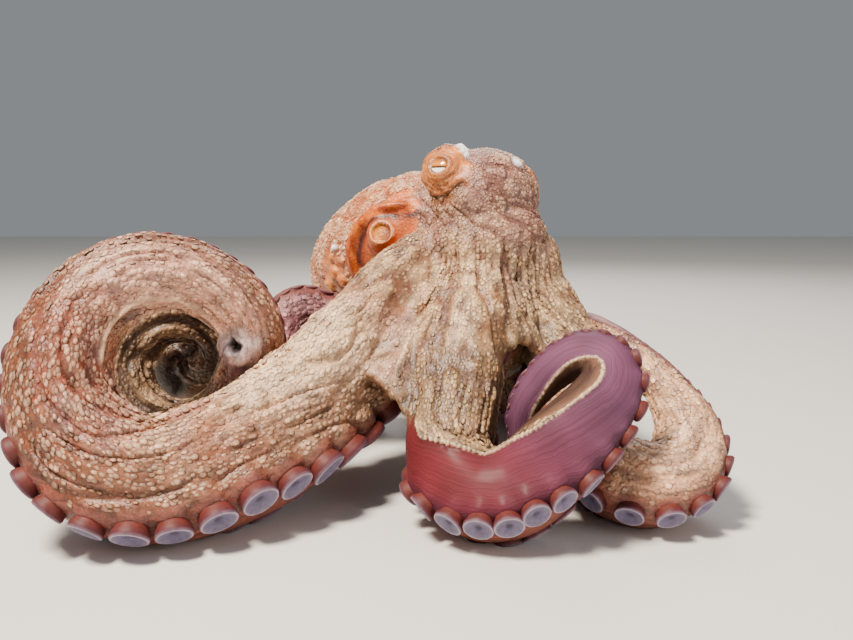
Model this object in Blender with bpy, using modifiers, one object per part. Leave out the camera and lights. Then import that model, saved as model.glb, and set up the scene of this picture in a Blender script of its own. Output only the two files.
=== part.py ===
"""A common octopus (Octopus vulgaris) at rest, as a life-size still model.

The animal sits raised on its arms, with its head up, its mantle hanging behind it and three of
its arms curled in front. The head, mantle and crown of arm roots are modelled as one soft form
and parted with thin cuts; beyond the web each arm is a loft, divided into a few lengths.
Lengths are in millimetres in the tables below and in metres in the model. +Z is up, the floor
is at Z = 0, and the animal faces +X and -Y.
"""
import math
from dataclasses import dataclass

import bmesh
import bpy
import numpy as np
from mathutils import Matrix, Vector

MM = 0.001
OBJECT_NAME = "octopus"

# Driving dimensions (mm)
GAP = 0.3                    # clear space between two pieces that touch
CRUMB = 0.06                 # corners closer than this are one corner
FACING = math.radians(-62)   # direction that the animal faces, from +X
EYE_RADIUS = 10.0
HEAD_CENTRE = (33, 8, 154)
HEAD_HALF = (32, 27, 27)     # half sizes: eye to eye, front to back, height
MANTLE_CENTRE = (-20, 80, 118)
MANTLE_HALF = (48, 44, 80)   # half sizes: across, front to back, along
MANTLE_AXIS = (-0.56, 0.72, -0.40)
CROWN_CENTRE = (28, 8, 88)
CROWN_HALF = (41, 38, 42)
FUNNEL_CENTRE = (-21, 37, 126)   # middle of its bulb, in the mantle's opening
FUNNEL_HALF = (16, 14, 21)
FUNNEL_MOUTH = (-26.5, 16, 134)
FUNNEL_RADII = (10, 6.8, 4.8)    # at the bulb, at the mouth, and of the bore
FUNNEL_BORE = 9                  # depth of the bore
MANTLE_CUT = ((6, 50, 120), (-0.60, 0.72, 0.28), 60)    # middle, axis and radius of a cut
HEAD_CUT = ((36, 6, 120), (0.05, -0.20, 1), 90)
WEB_THICKNESS = 6.5
WEB_START = 12               # distance from an arm's start at which its webs begin
WEB_STEPS = (14, 12)         # divisions of a web: down the arms, across it
WEB_BULGE = 0.10             # how far a web bellies out, as a share of its width
UNDERSIDE = 0.41             # from an arm's centre line to its sucker side, in depths
FLAT_DEPTH = 0.5             # how much of a lying arm its flat takes off
LYING_BLEND = 0.22           # share of the length over which an arm comes down to the floor

BODY_VOXEL = 2.6             # grid that melts the body's shapes into one form
BODY_TRIANGLES = 1650
SUCKER_PITCH = 0.64          # from one sucker to the next, side by turns, in diameters
SMALLEST_SUCKER = 9.5        # smaller suckers are part of the arm's own outline
SUCKER_SIDES = 8
SUCKER_FOOT = (0.30, 0.27)   # from the centre line: shares of the depth and of the width
SUCKER_RISE = (0.14, 2.5)    # height of the cup: share of the depth, and mm more
SUCKER_SPLAY = 0.05          # how far the cup leans outward, as a share of the width
SUCKER_RADII = (0.34, 0.5)   # at the foot and at the rim, in diameters
SUCKER_ROOM = 0.7            # clear of the arm's cuts, in diameters
ROOT_OVERLAP = 8             # length of an arm's root that is trimmed away again
TRIM_LENGTH = 14
TRIM_SCALE = 1.45            # the trimming block against the arm's own cross-section

DOWN = (0.0, 0.0, -1.0)


@dataclass(frozen=True)
class Arm:
    """One arm: the line it follows, how thick it is, and where it is divided."""

    name: str
    route: tuple                 # stations of its centre line, root first
    girth: tuple                 # (share of the length, depth from back to suckers, width)
    root_length: float           # part of the arm that belongs to the crown
    cuts: tuple                  # shares of the length at which a new piece begins
    curl_centre: tuple = None    # point that the suckers face away from
    curl_axis: tuple = (0, 0, 1)
    curl_from: float = 1.0       # share of the length at which the curl begins
    tilts: tuple = ((0, 0), (1, 0))  # (share of the length, lean along the curl's axis)
    sides: int = 8
    suckers: tuple = ()          # (share where large suckers start, share where they end)
    sucker_share: float = 0.36   # sucker diameter as a share of the arm's depth
    lies_from: float = 2.0       # share of the length from which the arm lies on the floor
    colour: tuple = (0.55, 0.38, 0.29)


BEND_EASING = (1,) * 17          # weights that ease each bend over its neighbouring marks
HIDDEN_GIRTH = ((0, 38, 38), (0.25, 33, 32), (0.5, 25, 24), (0.75, 16, 15), (1, 5, 5))

ARMS = (
    Arm("arm_right1",
        ((30, 0, 114), (24, -24, 94), (17, -47, 71), (13, -68, 48), (10, -84, 31),
         (14, -98, 23), (26, -108, 18), (43, -111, 24), (60, -110, 40), (74, -106, 55),
         (84, -100, 69), (84, -91, 79), (74, -83, 82), (61, -79, 74), (50, -77, 62),
         (44, -76, 50), (45, -77, 38), (53, -82, 38), (61, -86, 47)),
        ((0, 36, 44), (0.2, 36, 47), (0.36, 40, 40), (0.5, 40, 32), (0.58, 37, 29),
         (0.66, 27, 23), (0.72, 19, 17), (0.85, 15, 13), (1, 7, 7)),
        118, (0.0, 0.50, 0.63, 0.76),
        curl_centre=(62, -96, 60), curl_axis=(0.05, -0.93, 0.36), curl_from=0.40,
        tilts=((0, 0), (0.5, 0), (0.7, -0.5), (1, -0.5)), sides=10, suckers=(0.46, 0.68),
        colour=(0.36, 0.13, 0.14)),
    Arm("arm_right2",
        ((22, 12, 118), (3, 8, 112), (-16, -8, 96), (-34, -30, 72), (-54, -54, 51),
         (-74, -77, 36), (-97, -95, 28), (-120, -106, 25), (-141, -110, 31),
         (-157, -106, 44), (-167, -100, 65), (-165, -92, 90), (-154, -82, 108),
         (-138, -72, 118), (-119, -61, 118), (-101, -50, 107), (-89, -41, 87),
         (-92, -35, 62), (-108, -31, 38), (-132, -29, 27), (-155, -26, 36),
         (-166, -22, 58), (-160, -16, 78), (-146, -10, 88), (-130, -4, 86),
         (-120, 2, 73), (-124, 8, 59), (-137, 12, 55), (-146, 15, 64)),
        ((0, 40, 38), (0.09, 54, 40), (0.145, 66, 42), (0.255, 63, 44), (0.345, 57, 44),
         (0.42, 48, 42), (0.49, 40, 38), (0.56, 33, 33), (0.66, 30, 30), (0.78, 27, 26),
         (0.9, 19, 18), (1, 8, 8)),
        112, (0.0, 0.235, 0.325, 0.42, 0.52, 0.635, 0.755, 0.88),
        curl_centre=(-126, -70, 73), curl_axis=(-0.10, -0.93, 0.35), curl_from=0.22,
        tilts=((0, 0), (0.33, 0), (0.42, -0.3), (0.51, -0.8), (0.6, -1.0), (1, -0.4)),
        sides=10, suckers=(0.135, 0.53), sucker_share=0.31, colour=(0.55, 0.38, 0.31)),
    Arm("arm_left1",
        ((38, 12, 112), (55, 9, 104), (66, 3, 90), (75, -11, 68), (80, -31, 45),
         (82, -53, 28), (85, -72, 21), (95, -87, 18), (109, -91, 18), (122, -85, 23),
         (130, -70, 33), (130, -51, 46), (123, -30, 60), (113, -11, 71), (103, 9, 78),
         (97, 36, 80), (90, 64, 77), (82, 86, 73), (66, 96, 69), (54, 88, 67)),
        ((0, 36, 38), (0.2, 38, 40), (0.3, 40, 42), (0.40, 41, 42), (0.5, 32, 36),
         (0.57, 24, 27), (0.65, 18, 19), (0.75, 12, 12), (0.88, 8, 8), (1, 5, 5)),
        98, (0.0, 0.33, 0.46, 0.60, 0.76),
        curl_centre=(106, -60, 44), curl_axis=(0.10, -0.86, 0.50), curl_from=0.26,
        tilts=((0, 0), (1, -0.1)), sides=10, suckers=(0.25, 0.60),
        colour=(0.58, 0.42, 0.31)),
    Arm("arm_right3",
        ((12, 18, 92), (-12, 22, 80), (-36, 24, 78), (-58, 22, 86), (-76, 16, 91),
         (-86, 0, 78), (-82, -8, 54), (-70, 8, 28), (-68, 34, 14), (-84, 62, 12),
         (-108, 82, 10), (-130, 92, 9)),
        ((0, 34, 32), (0.2, 30, 28), (0.4, 26, 25), (0.6, 20, 20), (0.8, 14, 14), (1, 5, 5)),
        58, (0.0, 0.34, 0.56, 0.78),
        curl_centre=(-54, 0, 56), curl_axis=(0.0, -1.0, 0.2), curl_from=0.12,
        lies_from=0.66, colour=(0.46, 0.30, 0.28)),
    Arm("arm_right4",
        ((8, 26, 84), (-12, 42, 58), (-32, 64, 30), (-50, 88, 17), (-74, 110, 13),
         (-86, 138, 12), (-76, 164, 10), (-52, 170, 9), (-38, 152, 7), (-48, 136, 6)),
        HIDDEN_GIRTH, 60, (0.0, 0.42, 0.70), lies_from=0.33),
    Arm("arm_left4",
        ((24, 30, 84), (22, 54, 56), (16, 84, 28), (8, 118, 17), (4, 152, 13),
         (12, 188, 11), (34, 212, 9), (60, 208, 8), (68, 186, 6), (52, 174, 6)),
        HIDDEN_GIRTH, 60, (0.0, 0.42, 0.70), lies_from=0.33),
    Arm("arm_left3",
        ((38, 24, 84), (50, 46, 56), (57, 72, 28), (61, 104, 17), (75, 136, 13),
         (98, 160, 11), (110, 190, 10), (100, 218, 8), (76, 230, 6), (60, 244, 5)),
        HIDDEN_GIRTH, 60, (0.0, 0.42, 0.70), lies_from=0.33),
    Arm("arm_left2",
        ((44, 14, 92), (66, 20, 72), (86, 26, 46), (96, 42, 25), (103, 70, 16),
         (117, 98, 12), (137, 124, 10), (150, 154, 8), (152, 182, 6), (140, 204, 5)),
        HIDDEN_GIRTH, 60, (0.0, 0.42, 0.70), lies_from=0.33),
)

# Webs of skin between neighbouring arms: how far each reaches along its two arms, and how deep
# its free edge is notched.
WEBS = (
    ("arm_right2", "arm_right1", 108, 113, 0.08),
    ("arm_right1", "arm_left1", 86, 88, 0.36),
    ("arm_left1", "arm_left2", 84, 56, 0.30),
    ("arm_left2", "arm_left3", 56, 56, 0.35),
    ("arm_left3", "arm_left4", 56, 56, 0.35),
    ("arm_left4", "arm_right4", 56, 56, 0.35),
    ("arm_right4", "arm_right3", 56, 54, 0.35),
    ("arm_right3", "arm_right2", 52, 84, 0.35),
)


# ---------------------------------------------------------------- vectors and curves

def unit(vectors):
    """Vectors scaled to length one, along the last axis."""
    vectors = np.asarray(vectors, float)
    return vectors / np.linalg.norm(vectors, axis=-1, keepdims=True)


def smooth_line(stations, spacing=1.0):
    """Points about one spacing apart on a Catmull-Rom curve through the stations."""
    knots = np.asarray(stations, float)
    knots = np.vstack((2 * knots[0] - knots[1], knots, 2 * knots[-1] - knots[-2]))
    pieces = []
    for before, start, end, after in zip(knots, knots[1:], knots[2:], knots[3:]):
        count = max(2, int(np.linalg.norm(end - start) / (0.25 * spacing)))
        t = np.linspace(0, 1, count, endpoint=False)[:, None]
        pieces.append(0.5 * (2 * start + (end - before) * t
                             + (2 * before - 5 * start + 4 * end - after) * t ** 2
                             + (3 * start - 3 * end + after - before) * t ** 3))
    dense = np.vstack(pieces + [knots[-2:-1]])
    along = np.concatenate(([0], np.cumsum(np.linalg.norm(np.diff(dense, axis=0), axis=1))))
    marks = np.linspace(0, along[-1], int(along[-1] / spacing) + 1)
    points = np.column_stack([np.interp(marks, along, dense[:, axis]) for axis in range(3)])
    reach = len(BEND_EASING) // 2
    easing = np.array(BEND_EASING, float) / sum(BEND_EASING)
    eased = np.column_stack([np.convolve(points[:, axis], easing, "same") for axis in range(3)])
    points[reach:-reach] = eased[reach:-reach]
    return marks, points


class ArmLine:
    """The centre line of an arm with its depth, width and the way its suckers face."""

    def __init__(self, arm):
        self.arm = arm
        self.marks, self.points = smooth_line(arm.route)
        self.length = self.marks[-1]
        share = self.marks / self.length
        shares, depths, widths = zip(*arm.girth)
        self.depth = np.interp(share, shares, depths)
        self.width = np.interp(share, shares, widths)
        lying = np.clip((share - arm.lies_from) / LYING_BLEND, 0, 1)
        resting_height = UNDERSIDE * self.depth - FLAT_DEPTH
        self.points[:, 2] += lying * (resting_height - self.points[:, 2])
        self.tangent = unit(np.gradient(self.points, axis=0))
        self.mouthward = self.sucker_direction(share)
        self.sideways = np.cross(self.tangent, self.mouthward)

    def sucker_direction(self, share):
        """Unit vectors from the back of the arm to its suckers."""
        facing = np.tile(np.array(DOWN), (len(share), 1))
        if self.arm.curl_centre:
            axis = unit(self.arm.curl_axis)
            away = self.points - np.array(self.arm.curl_centre, float)
            lean = np.interp(share, *zip(*self.arm.tilts))[:, None]
            away = unit(away - np.outer(away @ axis, axis)) + lean * axis
            blend = np.clip((share - self.arm.curl_from) / 0.1 + 0.5, 0, 1)[:, None]
            facing = (1 - blend) * facing + blend * away
        across = facing - np.sum(facing * self.tangent, axis=1)[:, None] * self.tangent
        return unit(across)

    def at(self, mark):
        """Centre, tangent, sucker direction, side direction, depth and width at a mark."""
        before = min(int(np.searchsorted(self.marks, mark, "right")) - 1, len(self.marks) - 2)
        share = (mark - self.marks[before]) / (self.marks[before + 1] - self.marks[before])
        mixed = [row[before] * (1 - share) + row[before + 1] * share
                 for row in (self.points, self.tangent, self.mouthward, self.sideways,
                             self.depth, self.width)]
        return (mixed[0], unit(mixed[1]), unit(mixed[2]), unit(mixed[3]), mixed[4], mixed[5])

    def ring(self, mark, sides, scale=1.0):
        """Points of the cross-section at a mark: a rounded back and a flatter sucker side."""
        centre, _, mouthward, sideways, depth, width = self.at(mark)
        angle = (np.arange(sides) + 0.5) * 2 * math.pi / sides
        across = np.sin(angle)
        across = np.sign(across) * np.abs(across) ** 0.85 * width / 2
        toward = -np.cos(angle)
        toward = np.sign(toward) * np.abs(toward) ** 0.8
        toward = np.where(toward > 0, toward * 0.44, toward * 0.54) * depth
        return centre + scale * (np.outer(across, sideways) + np.outer(toward, mouthward))


LINES = {arm.name: ArmLine(arm) for arm in ARMS}


# ---------------------------------------------------------------- objects and tools

def clear_scene():
    """Remove every object of the startup scene."""
    for item in list(bpy.data.objects):
        bpy.data.objects.remove(item, do_unlink=True)


def new_collection(name):
    """A collection linked to the scene."""
    collection = bpy.data.collections.new(name)
    bpy.context.scene.collection.children.link(collection)
    return collection


def skin_material(name, colour, roughness=0.5):
    """A soft skin finish in one plain colour."""
    material = bpy.data.materials.new(name)
    material.use_nodes = True
    shader = material.node_tree.nodes["Principled BSDF"]
    shader.inputs["Base Color"].default_value = (*colour, 1.0)
    shader.inputs["Roughness"].default_value = roughness
    shader.inputs["Metallic"].default_value = 0.0
    return material


def mesh_object(name, points, faces, collection, origin=(0, 0, 0)):
    """An object from points in millimetres, with its origin at one of the body's own places."""
    origin = np.asarray(origin, float)
    mesh = bpy.data.meshes.new(name)
    mesh.from_pydata(((np.asarray(points) - origin) * MM).tolist(), [], faces)
    bulk = bmesh.new()
    bulk.from_mesh(mesh)
    bmesh.ops.recalc_face_normals(bulk, faces=bulk.faces)
    bulk.to_mesh(mesh)
    bulk.free()
    made = bpy.data.objects.new(name, mesh)
    made.location = Vector(origin) * MM
    collection.objects.link(made)
    return made


def loft_faces(rings, sides):
    """Faces of a closed loft: a skin of quads between rings and a flat cap at each end."""
    faces = []
    for ring in range(rings - 1):
        for side in range(sides):
            here = ring * sides + side
            beside = ring * sides + (side + 1) % sides
            faces.append((here, beside, beside + sides, here + sides))
    faces.append(tuple(range(sides)))
    faces.append(tuple((rings - 1) * sides + side for side in range(sides)))
    return faces


def egg(name, centre, half_sizes, rotation, collection, segments=32, rings=20):
    """An ellipsoid from a sphere, turned and scaled."""
    bulk = bmesh.new()
    bmesh.ops.create_uvsphere(bulk, u_segments=segments, v_segments=rings, radius=1.0)
    mesh = bpy.data.meshes.new(name)
    scale = Matrix.Diagonal((*(Vector(half_sizes) * MM), 1.0))
    bulk.transform(rotation.to_4x4() @ scale)
    bulk.to_mesh(mesh)
    bulk.free()
    made = bpy.data.objects.new(name, mesh)
    made.location = Vector(centre) * MM
    collection.objects.link(made)
    return made


def turned_to(axis):
    """The rotation that lays +Z along an axis."""
    return Vector(axis).to_track_quat("Z", "Y").to_matrix()


def cone(name, centre, axis, radius_start, radius_end, length, collection, sides=16):
    """A cone or cylinder, centred on a point, with its end pointing along an axis."""
    bulk = bmesh.new()
    bmesh.ops.create_cone(bulk, cap_ends=True, segments=sides, radius1=radius_start * MM,
                          radius2=radius_end * MM, depth=length * MM)
    bulk.transform(turned_to(axis).to_4x4())
    mesh = bpy.data.meshes.new(name)
    bulk.to_mesh(mesh)
    bulk.free()
    made = bpy.data.objects.new(name, mesh)
    made.location = Vector(centre) * MM
    collection.objects.link(made)
    return made


def disc(name, centre, axis, radius, collection):
    """A round cutter as thin as the gap between pieces, square to an axis."""
    made = cone(name, centre, axis, radius, radius, GAP, collection, 24)
    hide_cutter(made)
    return made


def hide_cutter(cutter):
    """Mark an object as a tool that isn't part of the model."""
    cutter.hide_render = True
    cutter.display_type = "WIRE"


def apply_modifiers(target):
    """Replace an object's mesh with its evaluated one."""
    bpy.context.view_layer.update()
    graph = bpy.context.evaluated_depsgraph_get()
    mesh = bpy.data.meshes.new_from_object(target.evaluated_get(graph))
    target.modifiers.clear()
    old = target.data
    target.data = mesh
    bpy.data.meshes.remove(old)


def tidy_crumbs(target):
    """Merge the corners that a cut or a join left closer than a hair's breadth."""
    bulk = bmesh.new()
    bulk.from_mesh(target.data)
    bmesh.ops.remove_doubles(bulk, verts=bulk.verts, dist=CRUMB * MM)
    bmesh.ops.dissolve_degenerate(bulk, dist=CRUMB * MM, edges=bulk.edges)
    bulk.to_mesh(target.data)
    bulk.free()


def boolean(target, tool, operation):
    """Cut or join with another object, at once."""
    step = target.modifiers.new(operation.title(), "BOOLEAN")
    step.object = tool
    step.operation = operation
    step.solver = "EXACT"
    apply_modifiers(target)


def joined(name, objects, collection):
    """One object that holds several meshes, in world coordinates."""
    bpy.context.view_layer.update()
    bulk = bmesh.new()
    for item in objects:
        mesh = item.data.copy()
        mesh.transform(item.matrix_world)
        bulk.from_mesh(mesh)
        bpy.data.meshes.remove(mesh)
        bpy.data.objects.remove(item, do_unlink=True)
    mesh = bpy.data.meshes.new(name)
    bulk.to_mesh(mesh)
    bulk.free()
    made = bpy.data.objects.new(name, mesh)
    collection.objects.link(made)
    return made


def set_origin(target, origin):
    """Move an object's origin without moving its shape."""
    target.data.transform(Matrix.Translation(-Vector(origin) * MM))
    target.location = Vector(origin) * MM


def shade_round(target, angle=50):
    """Smooth shading with true edges kept sharp."""
    target.data.shade_smooth()
    target.data.set_sharp_from_angle(angle=math.radians(angle))


# ---------------------------------------------------------------- body

def head_turn():
    """The rotation from the head's own axes to the world: X eye to eye, Y forward."""
    return Matrix.Rotation(FACING - math.radians(90), 3, "Z")


def eye_centres():
    """Centres of the right and left eyeball."""
    across = head_turn() @ Vector((1, 0, 0))
    middle = Vector(HEAD_CENTRE)
    right = middle + across * 25 + Vector((0, 0, 13))
    left = middle - across * 22 + Vector((0, 0, 7))
    return {"eye_right": right, "eye_left": left}


def eye_axes():
    """Directions in which the two eyes look."""
    across = head_turn() @ Vector((1, 0, 0))
    forward = head_turn() @ Vector((0, 1, 0))
    return {"eye_right": (across + forward * 0.6 + Vector((0, 0, 0.05))).normalized(),
            "eye_left": (-across + forward * 0.2 + Vector((0, 0, 0.05))).normalized()}


def head_shapes(collection):
    """The head: a broad middle with a raised turret round each eye."""
    turn = head_turn()
    shapes = [egg("head_middle", HEAD_CENTRE, HEAD_HALF, turn, collection)]
    neck = Vector(HEAD_CENTRE) + turn @ Vector((-6, -26, -8))
    shapes.append(egg("neck", neck, (30, 30, 27), turn, collection))
    throat = Vector(HEAD_CENTRE) + Vector((0, -2, -30))
    shapes.append(egg("throat", throat, (33, 31, 32), turn, collection))
    for name, centre in eye_centres().items():
        out = eye_axes()[name]
        shapes.append(egg(name + "_turret", centre - out * 5, (15, 16.5, 13),
                          turned_to(out), collection))
        shapes.append(egg(name + "_bag", centre - out * 5 - Vector((0, 0, 9)), (13, 12, 12),
                          turned_to(out), collection))
    return shapes


def mantle_shapes(collection):
    """The mantle: an egg that hangs behind the head, with a rounded lip at its opening."""
    turn = turned_to(MANTLE_AXIS)
    shapes = [egg("mantle_bag", MANTLE_CENTRE, MANTLE_HALF, turn, collection)]
    collar = Vector(MANTLE_CENTRE) - Vector(MANTLE_AXIS).normalized() * 34
    shapes.append(egg("mantle_collar", collar, (42, 37, 28), turn, collection))
    return shapes


def web_sheet(arm_a, arm_b, reach_a, reach_b, notch, collection):
    """A thin sheet between the facing sides of two arms, with an arched free edge."""
    line_a, line_b = LINES[arm_a], LINES[arm_b]
    down_steps, across_steps = WEB_STEPS
    surface = []
    for down in range(down_steps + 1):
        for step in range(across_steps + 1):
            u = step / across_steps
            fall = down / down_steps * (1 - notch * math.sin(math.pi * u))
            ends = []
            for line, reach, other in ((line_a, reach_a, line_b), (line_b, reach_b, line_a)):
                mark = WEB_START + fall * (reach - WEB_START)
                centre, _, mouthward, sideways, depth, width = line.at(mark)
                toward = other.at(mark)[0] - centre
                side = 1 if np.dot(toward, sideways) > 0 else -1
                ends.append(centre + sideways * side * width * 0.34 - mouthward * depth * 0.16)
            point = ends[0] * (1 - u) + ends[1] * u
            outward = point - np.array((CROWN_CENTRE[0], CROWN_CENTRE[1], point[2]))
            bulge = WEB_BULGE * np.linalg.norm(ends[1] - ends[0]) * math.sin(math.pi * u)
            surface.append(point + unit(outward + np.array((0, 0, 20))) * bulge)
    faces = []
    row = across_steps + 1
    for down in range(down_steps):
        for step in range(across_steps):
            here = down * row + step
            faces.append((here, here + 1, here + 1 + row, here + row))
    sheet = mesh_object("web_" + arm_a + arm_b, surface, faces, collection)
    thick = sheet.modifiers.new("Thickness", "SOLIDIFY")
    thick.thickness = WEB_THICKNESS * MM
    thick.offset = 0.0
    apply_modifiers(sheet)
    return sheet


def arm_root(arm, collection):
    """The start of an arm, a little longer than the part that the crown keeps."""
    line = LINES[arm.name]
    rings, sides = 16, 20
    marks = np.linspace(0, arm.root_length + ROOT_OVERLAP, rings)
    points = np.vstack([line.ring(mark, sides) for mark in marks])
    return mesh_object(arm.name + "_root", points, loft_faces(rings, sides), collection)


def funnel_shape(name, clearance, collection):
    """The outside of the funnel: a bulb with a short tapering tube."""
    bulb = egg(name, FUNNEL_CENTRE, [half + clearance for half in FUNNEL_HALF],
               Matrix.Identity(3), collection, 14, 8)
    reach = Vector(FUNNEL_MOUTH) - Vector(FUNNEL_CENTRE)
    tube = cone(name + "_tube", Vector(FUNNEL_CENTRE) + reach / 2, reach,
                FUNNEL_RADII[0] + clearance, FUNNEL_RADII[1] + clearance, reach.length,
                collection)
    boolean(bulb, tube, "UNION")
    bpy.data.objects.remove(tube, do_unlink=True)
    return bulb


def soft_body(parts, cutters):
    """The head, mantle, crown and webs melted into one form with few, even triangles."""
    shapes = head_shapes(parts) + mantle_shapes(parts)
    shapes.append(egg("crown_core", CROWN_CENTRE, CROWN_HALF, Matrix.Identity(3), parts))
    shapes.extend(arm_root(arm, parts) for arm in ARMS)
    shapes.extend(web_sheet(*web, parts) for web in WEBS)
    body = joined("body", shapes, parts)
    melt = body.modifiers.new("Melt", "REMESH")
    melt.mode = "VOXEL"
    melt.voxel_size = BODY_VOXEL * MM
    relax = body.modifiers.new("Relax", "SMOOTH")
    relax.factor = 0.5
    relax.iterations = 8
    apply_modifiers(body)
    thin = body.modifiers.new("Thin out", "DECIMATE")
    thin.ratio = BODY_TRIANGLES / (2 * len(body.data.polygons))
    thin.use_collapse_triangulate = True
    apply_modifiers(body)
    for arm in ARMS:
        boolean(body, root_end(arm, cutters), "DIFFERENCE")
    return body


def root_end(arm, cutters):
    """The block that trims an arm's root square, where its first length begins."""
    line = LINES[arm.name]
    rings, sides = 3, 16
    marks = np.linspace(arm.root_length, arm.root_length + TRIM_LENGTH, rings)
    points = np.vstack([line.ring(mark, sides, TRIM_SCALE) for mark in marks])
    block = mesh_object(arm.name + "_end", points, loft_faces(rings, sides), cutters)
    hide_cutter(block)
    return block


def part_body(body, parts, cutters):
    """Cut the body into head, mantle and crown, with room for the eyes and the funnel."""
    for name, centre in eye_centres().items():
        socket = egg(name + "_socket", centre, (EYE_RADIUS + GAP,) * 3,
                     turned_to(eye_axes()[name]), cutters, 14, 8)
        hide_cutter(socket)
        boolean(body, socket, "DIFFERENCE")
    seat = funnel_shape("funnel_seat", GAP, cutters)
    hide_cutter(seat)
    boolean(body, seat, "DIFFERENCE")
    back = disc("mantle_cut", *MANTLE_CUT, cutters)
    mantle, rest = split(body, back, MANTLE_CENTRE, parts)
    under = disc("head_cut", *HEAD_CUT, cutters)
    head, crown = split(rest, under, HEAD_CENTRE, parts)
    named = {"head": (head, HEAD_CENTRE), "mantle": (mantle, MANTLE_CENTRE),
             "crown": (crown, CROWN_CENTRE)}
    for name, (piece, origin) in named.items():
        piece.name = name
        set_origin(piece, origin)
    return [piece for piece, _ in named.values()]


def split(target, cutter, near, parts):
    """Part a mesh with a thin cut: the piece nearest to a point, and the other one."""
    boolean(target, cutter, "DIFFERENCE")
    pieces = loose_pieces(target, parts)
    for crumb in pieces[2:]:
        bpy.data.objects.remove(crumb, do_unlink=True)
    return sorted(pieces[:2], key=lambda piece: (middle(piece) - Vector(near)).length)


def middle(piece):
    """The middle of an object's box in millimetres, before it has an origin of its own."""
    return sum((Vector(corner) for corner in piece.bound_box), Vector()) / 8 / MM


def connected_groups(bulk):
    """The sets of vertices that hang together, largest first."""
    unseen = set(bulk.verts)
    groups = []
    while unseen:
        stack = [unseen.pop()]
        group = set(stack)
        while stack:
            for edge in stack.pop().link_edges:
                for vert in edge.verts:
                    if vert in unseen:
                        unseen.discard(vert)
                        group.add(vert)
                        stack.append(vert)
        groups.append({vert.index for vert in group})
    return sorted(groups, key=len, reverse=True)


def loose_pieces(body, parts):
    """Each unconnected piece of a mesh as an object of its own, largest first."""
    bulk = bmesh.new()
    bulk.from_mesh(body.data)
    groups = connected_groups(bulk)
    bulk.free()
    pieces = []
    for group in groups:
        piece = bmesh.new()
        piece.from_mesh(body.data)
        bmesh.ops.delete(piece, geom=[v for v in piece.verts if v.index not in group])
        mesh = bpy.data.meshes.new("piece")
        piece.to_mesh(mesh)
        piece.free()
        made = bpy.data.objects.new("piece", mesh)
        parts.objects.link(made)
        pieces.append(made)
    bpy.data.objects.remove(body, do_unlink=True)
    return pieces


# ---------------------------------------------------------------- eyes and funnel

def eyes(parts):
    """Two round eyeballs, seated in the turrets."""
    material = skin_material("eye", (0.80, 0.45, 0.12), 0.25)
    made = []
    for name, centre in eye_centres().items():
        ball = egg(name, centre, (EYE_RADIUS,) * 3, turned_to(eye_axes()[name]), parts, 14, 8)
        ball.data.materials.append(material)
        shade_round(ball)
        made.append(ball)
    return made


def funnel(parts, cutters):
    """The funnel, with its round opening."""
    made = funnel_shape("funnel", 0, parts)
    axis = Vector(FUNNEL_MOUTH) - Vector(FUNNEL_CENTRE)
    bore = cone("funnel_bore", FUNNEL_MOUTH, axis, FUNNEL_RADII[2] * 0.8, FUNNEL_RADII[2],
                2 * FUNNEL_BORE, cutters)
    hide_cutter(bore)
    boolean(made, bore, "DIFFERENCE")
    made.data.materials.append(skin_material("funnel", (0.85, 0.42, 0.16), 0.4))
    shade_round(made)
    return made


# ---------------------------------------------------------------- arms

def sucker_marks(line):
    """Where the large suckers sit: marks along the arm, side by turns, with diameters."""
    start, end = (share * line.length for share in line.arm.suckers)
    mark, side = start, 1
    while mark < end:
        diameter = line.at(mark)[4] * line.arm.sucker_share
        if diameter >= SMALLEST_SUCKER:
            yield mark, side, diameter
        mark += SUCKER_PITCH * diameter
        side = -side


def sucker(line, mark, side, diameter, collection):
    """A short flaring cup on the arm's sucker side."""
    centre, _, mouthward, sideways, depth, width = line.at(mark)
    deep, wide = SUCKER_FOOT
    foot = centre + mouthward * depth * deep + sideways * side * width * wide
    rim = (foot + mouthward * (depth * SUCKER_RISE[0] + SUCKER_RISE[1])
           + sideways * side * width * SUCKER_SPLAY)
    axis = unit(rim - foot)
    across = unit(np.cross(axis, line.at(mark)[1]))
    along = np.cross(axis, across)
    angle = np.arange(SUCKER_SIDES) * 2 * math.pi / SUCKER_SIDES
    circle = np.outer(np.cos(angle), across) + np.outer(np.sin(angle), along)
    points = np.vstack((foot + circle * diameter * SUCKER_RADII[0],
                        rim + circle * diameter * SUCKER_RADII[1]))
    return mesh_object("sucker", points, loft_faces(2, SUCKER_SIDES), collection)


def ring_marks(line, start, end):
    """Marks of the cross-sections of one length, closer where the arm is thin or curls."""
    marks = [start]
    while marks[-1] < end:
        depth = line.at(marks[-1])[4]
        step = min(max(0.38 * depth, 8.0), 15.0)
        if line.arm.sides < 10:
            step *= 1.3
        marks.append(marks[-1] + step)
    marks = np.array(marks)
    return start + (marks - start) * (end - start) / (marks[-1] - start)


def arm_length(line, index, start, end, floor, parts, cutters):
    """One length of an arm, with its large suckers joined on and a flat where it rests."""
    arm = line.arm
    marks = ring_marks(line, start, end)
    rings = [line.ring(mark, arm.sides) for mark in marks]
    name = "{}_{}".format(arm.name, index + 1)
    piece = mesh_object(name, np.vstack(rings), loft_faces(len(rings), arm.sides), parts,
                        line.at(start)[0])
    if arm.suckers:
        cups = [sucker(line, mark, side, diameter, cutters)
                for mark, side, diameter in sucker_marks(line)
                if start + diameter * SUCKER_ROOM < mark < end - diameter * SUCKER_ROOM]
        for cup in cups:
            boolean(piece, cup, "UNION")
            tidy_crumbs(piece)
            bpy.data.objects.remove(cup, do_unlink=True)
    lowest = min((piece.matrix_basis @ vert.co).z for vert in piece.data.vertices)
    if lowest < 0:
        boolean(piece, floor, "DIFFERENCE")
    piece.data.materials.append(skin_material(name, arm.colour))
    shade_round(piece)
    return piece


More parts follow.
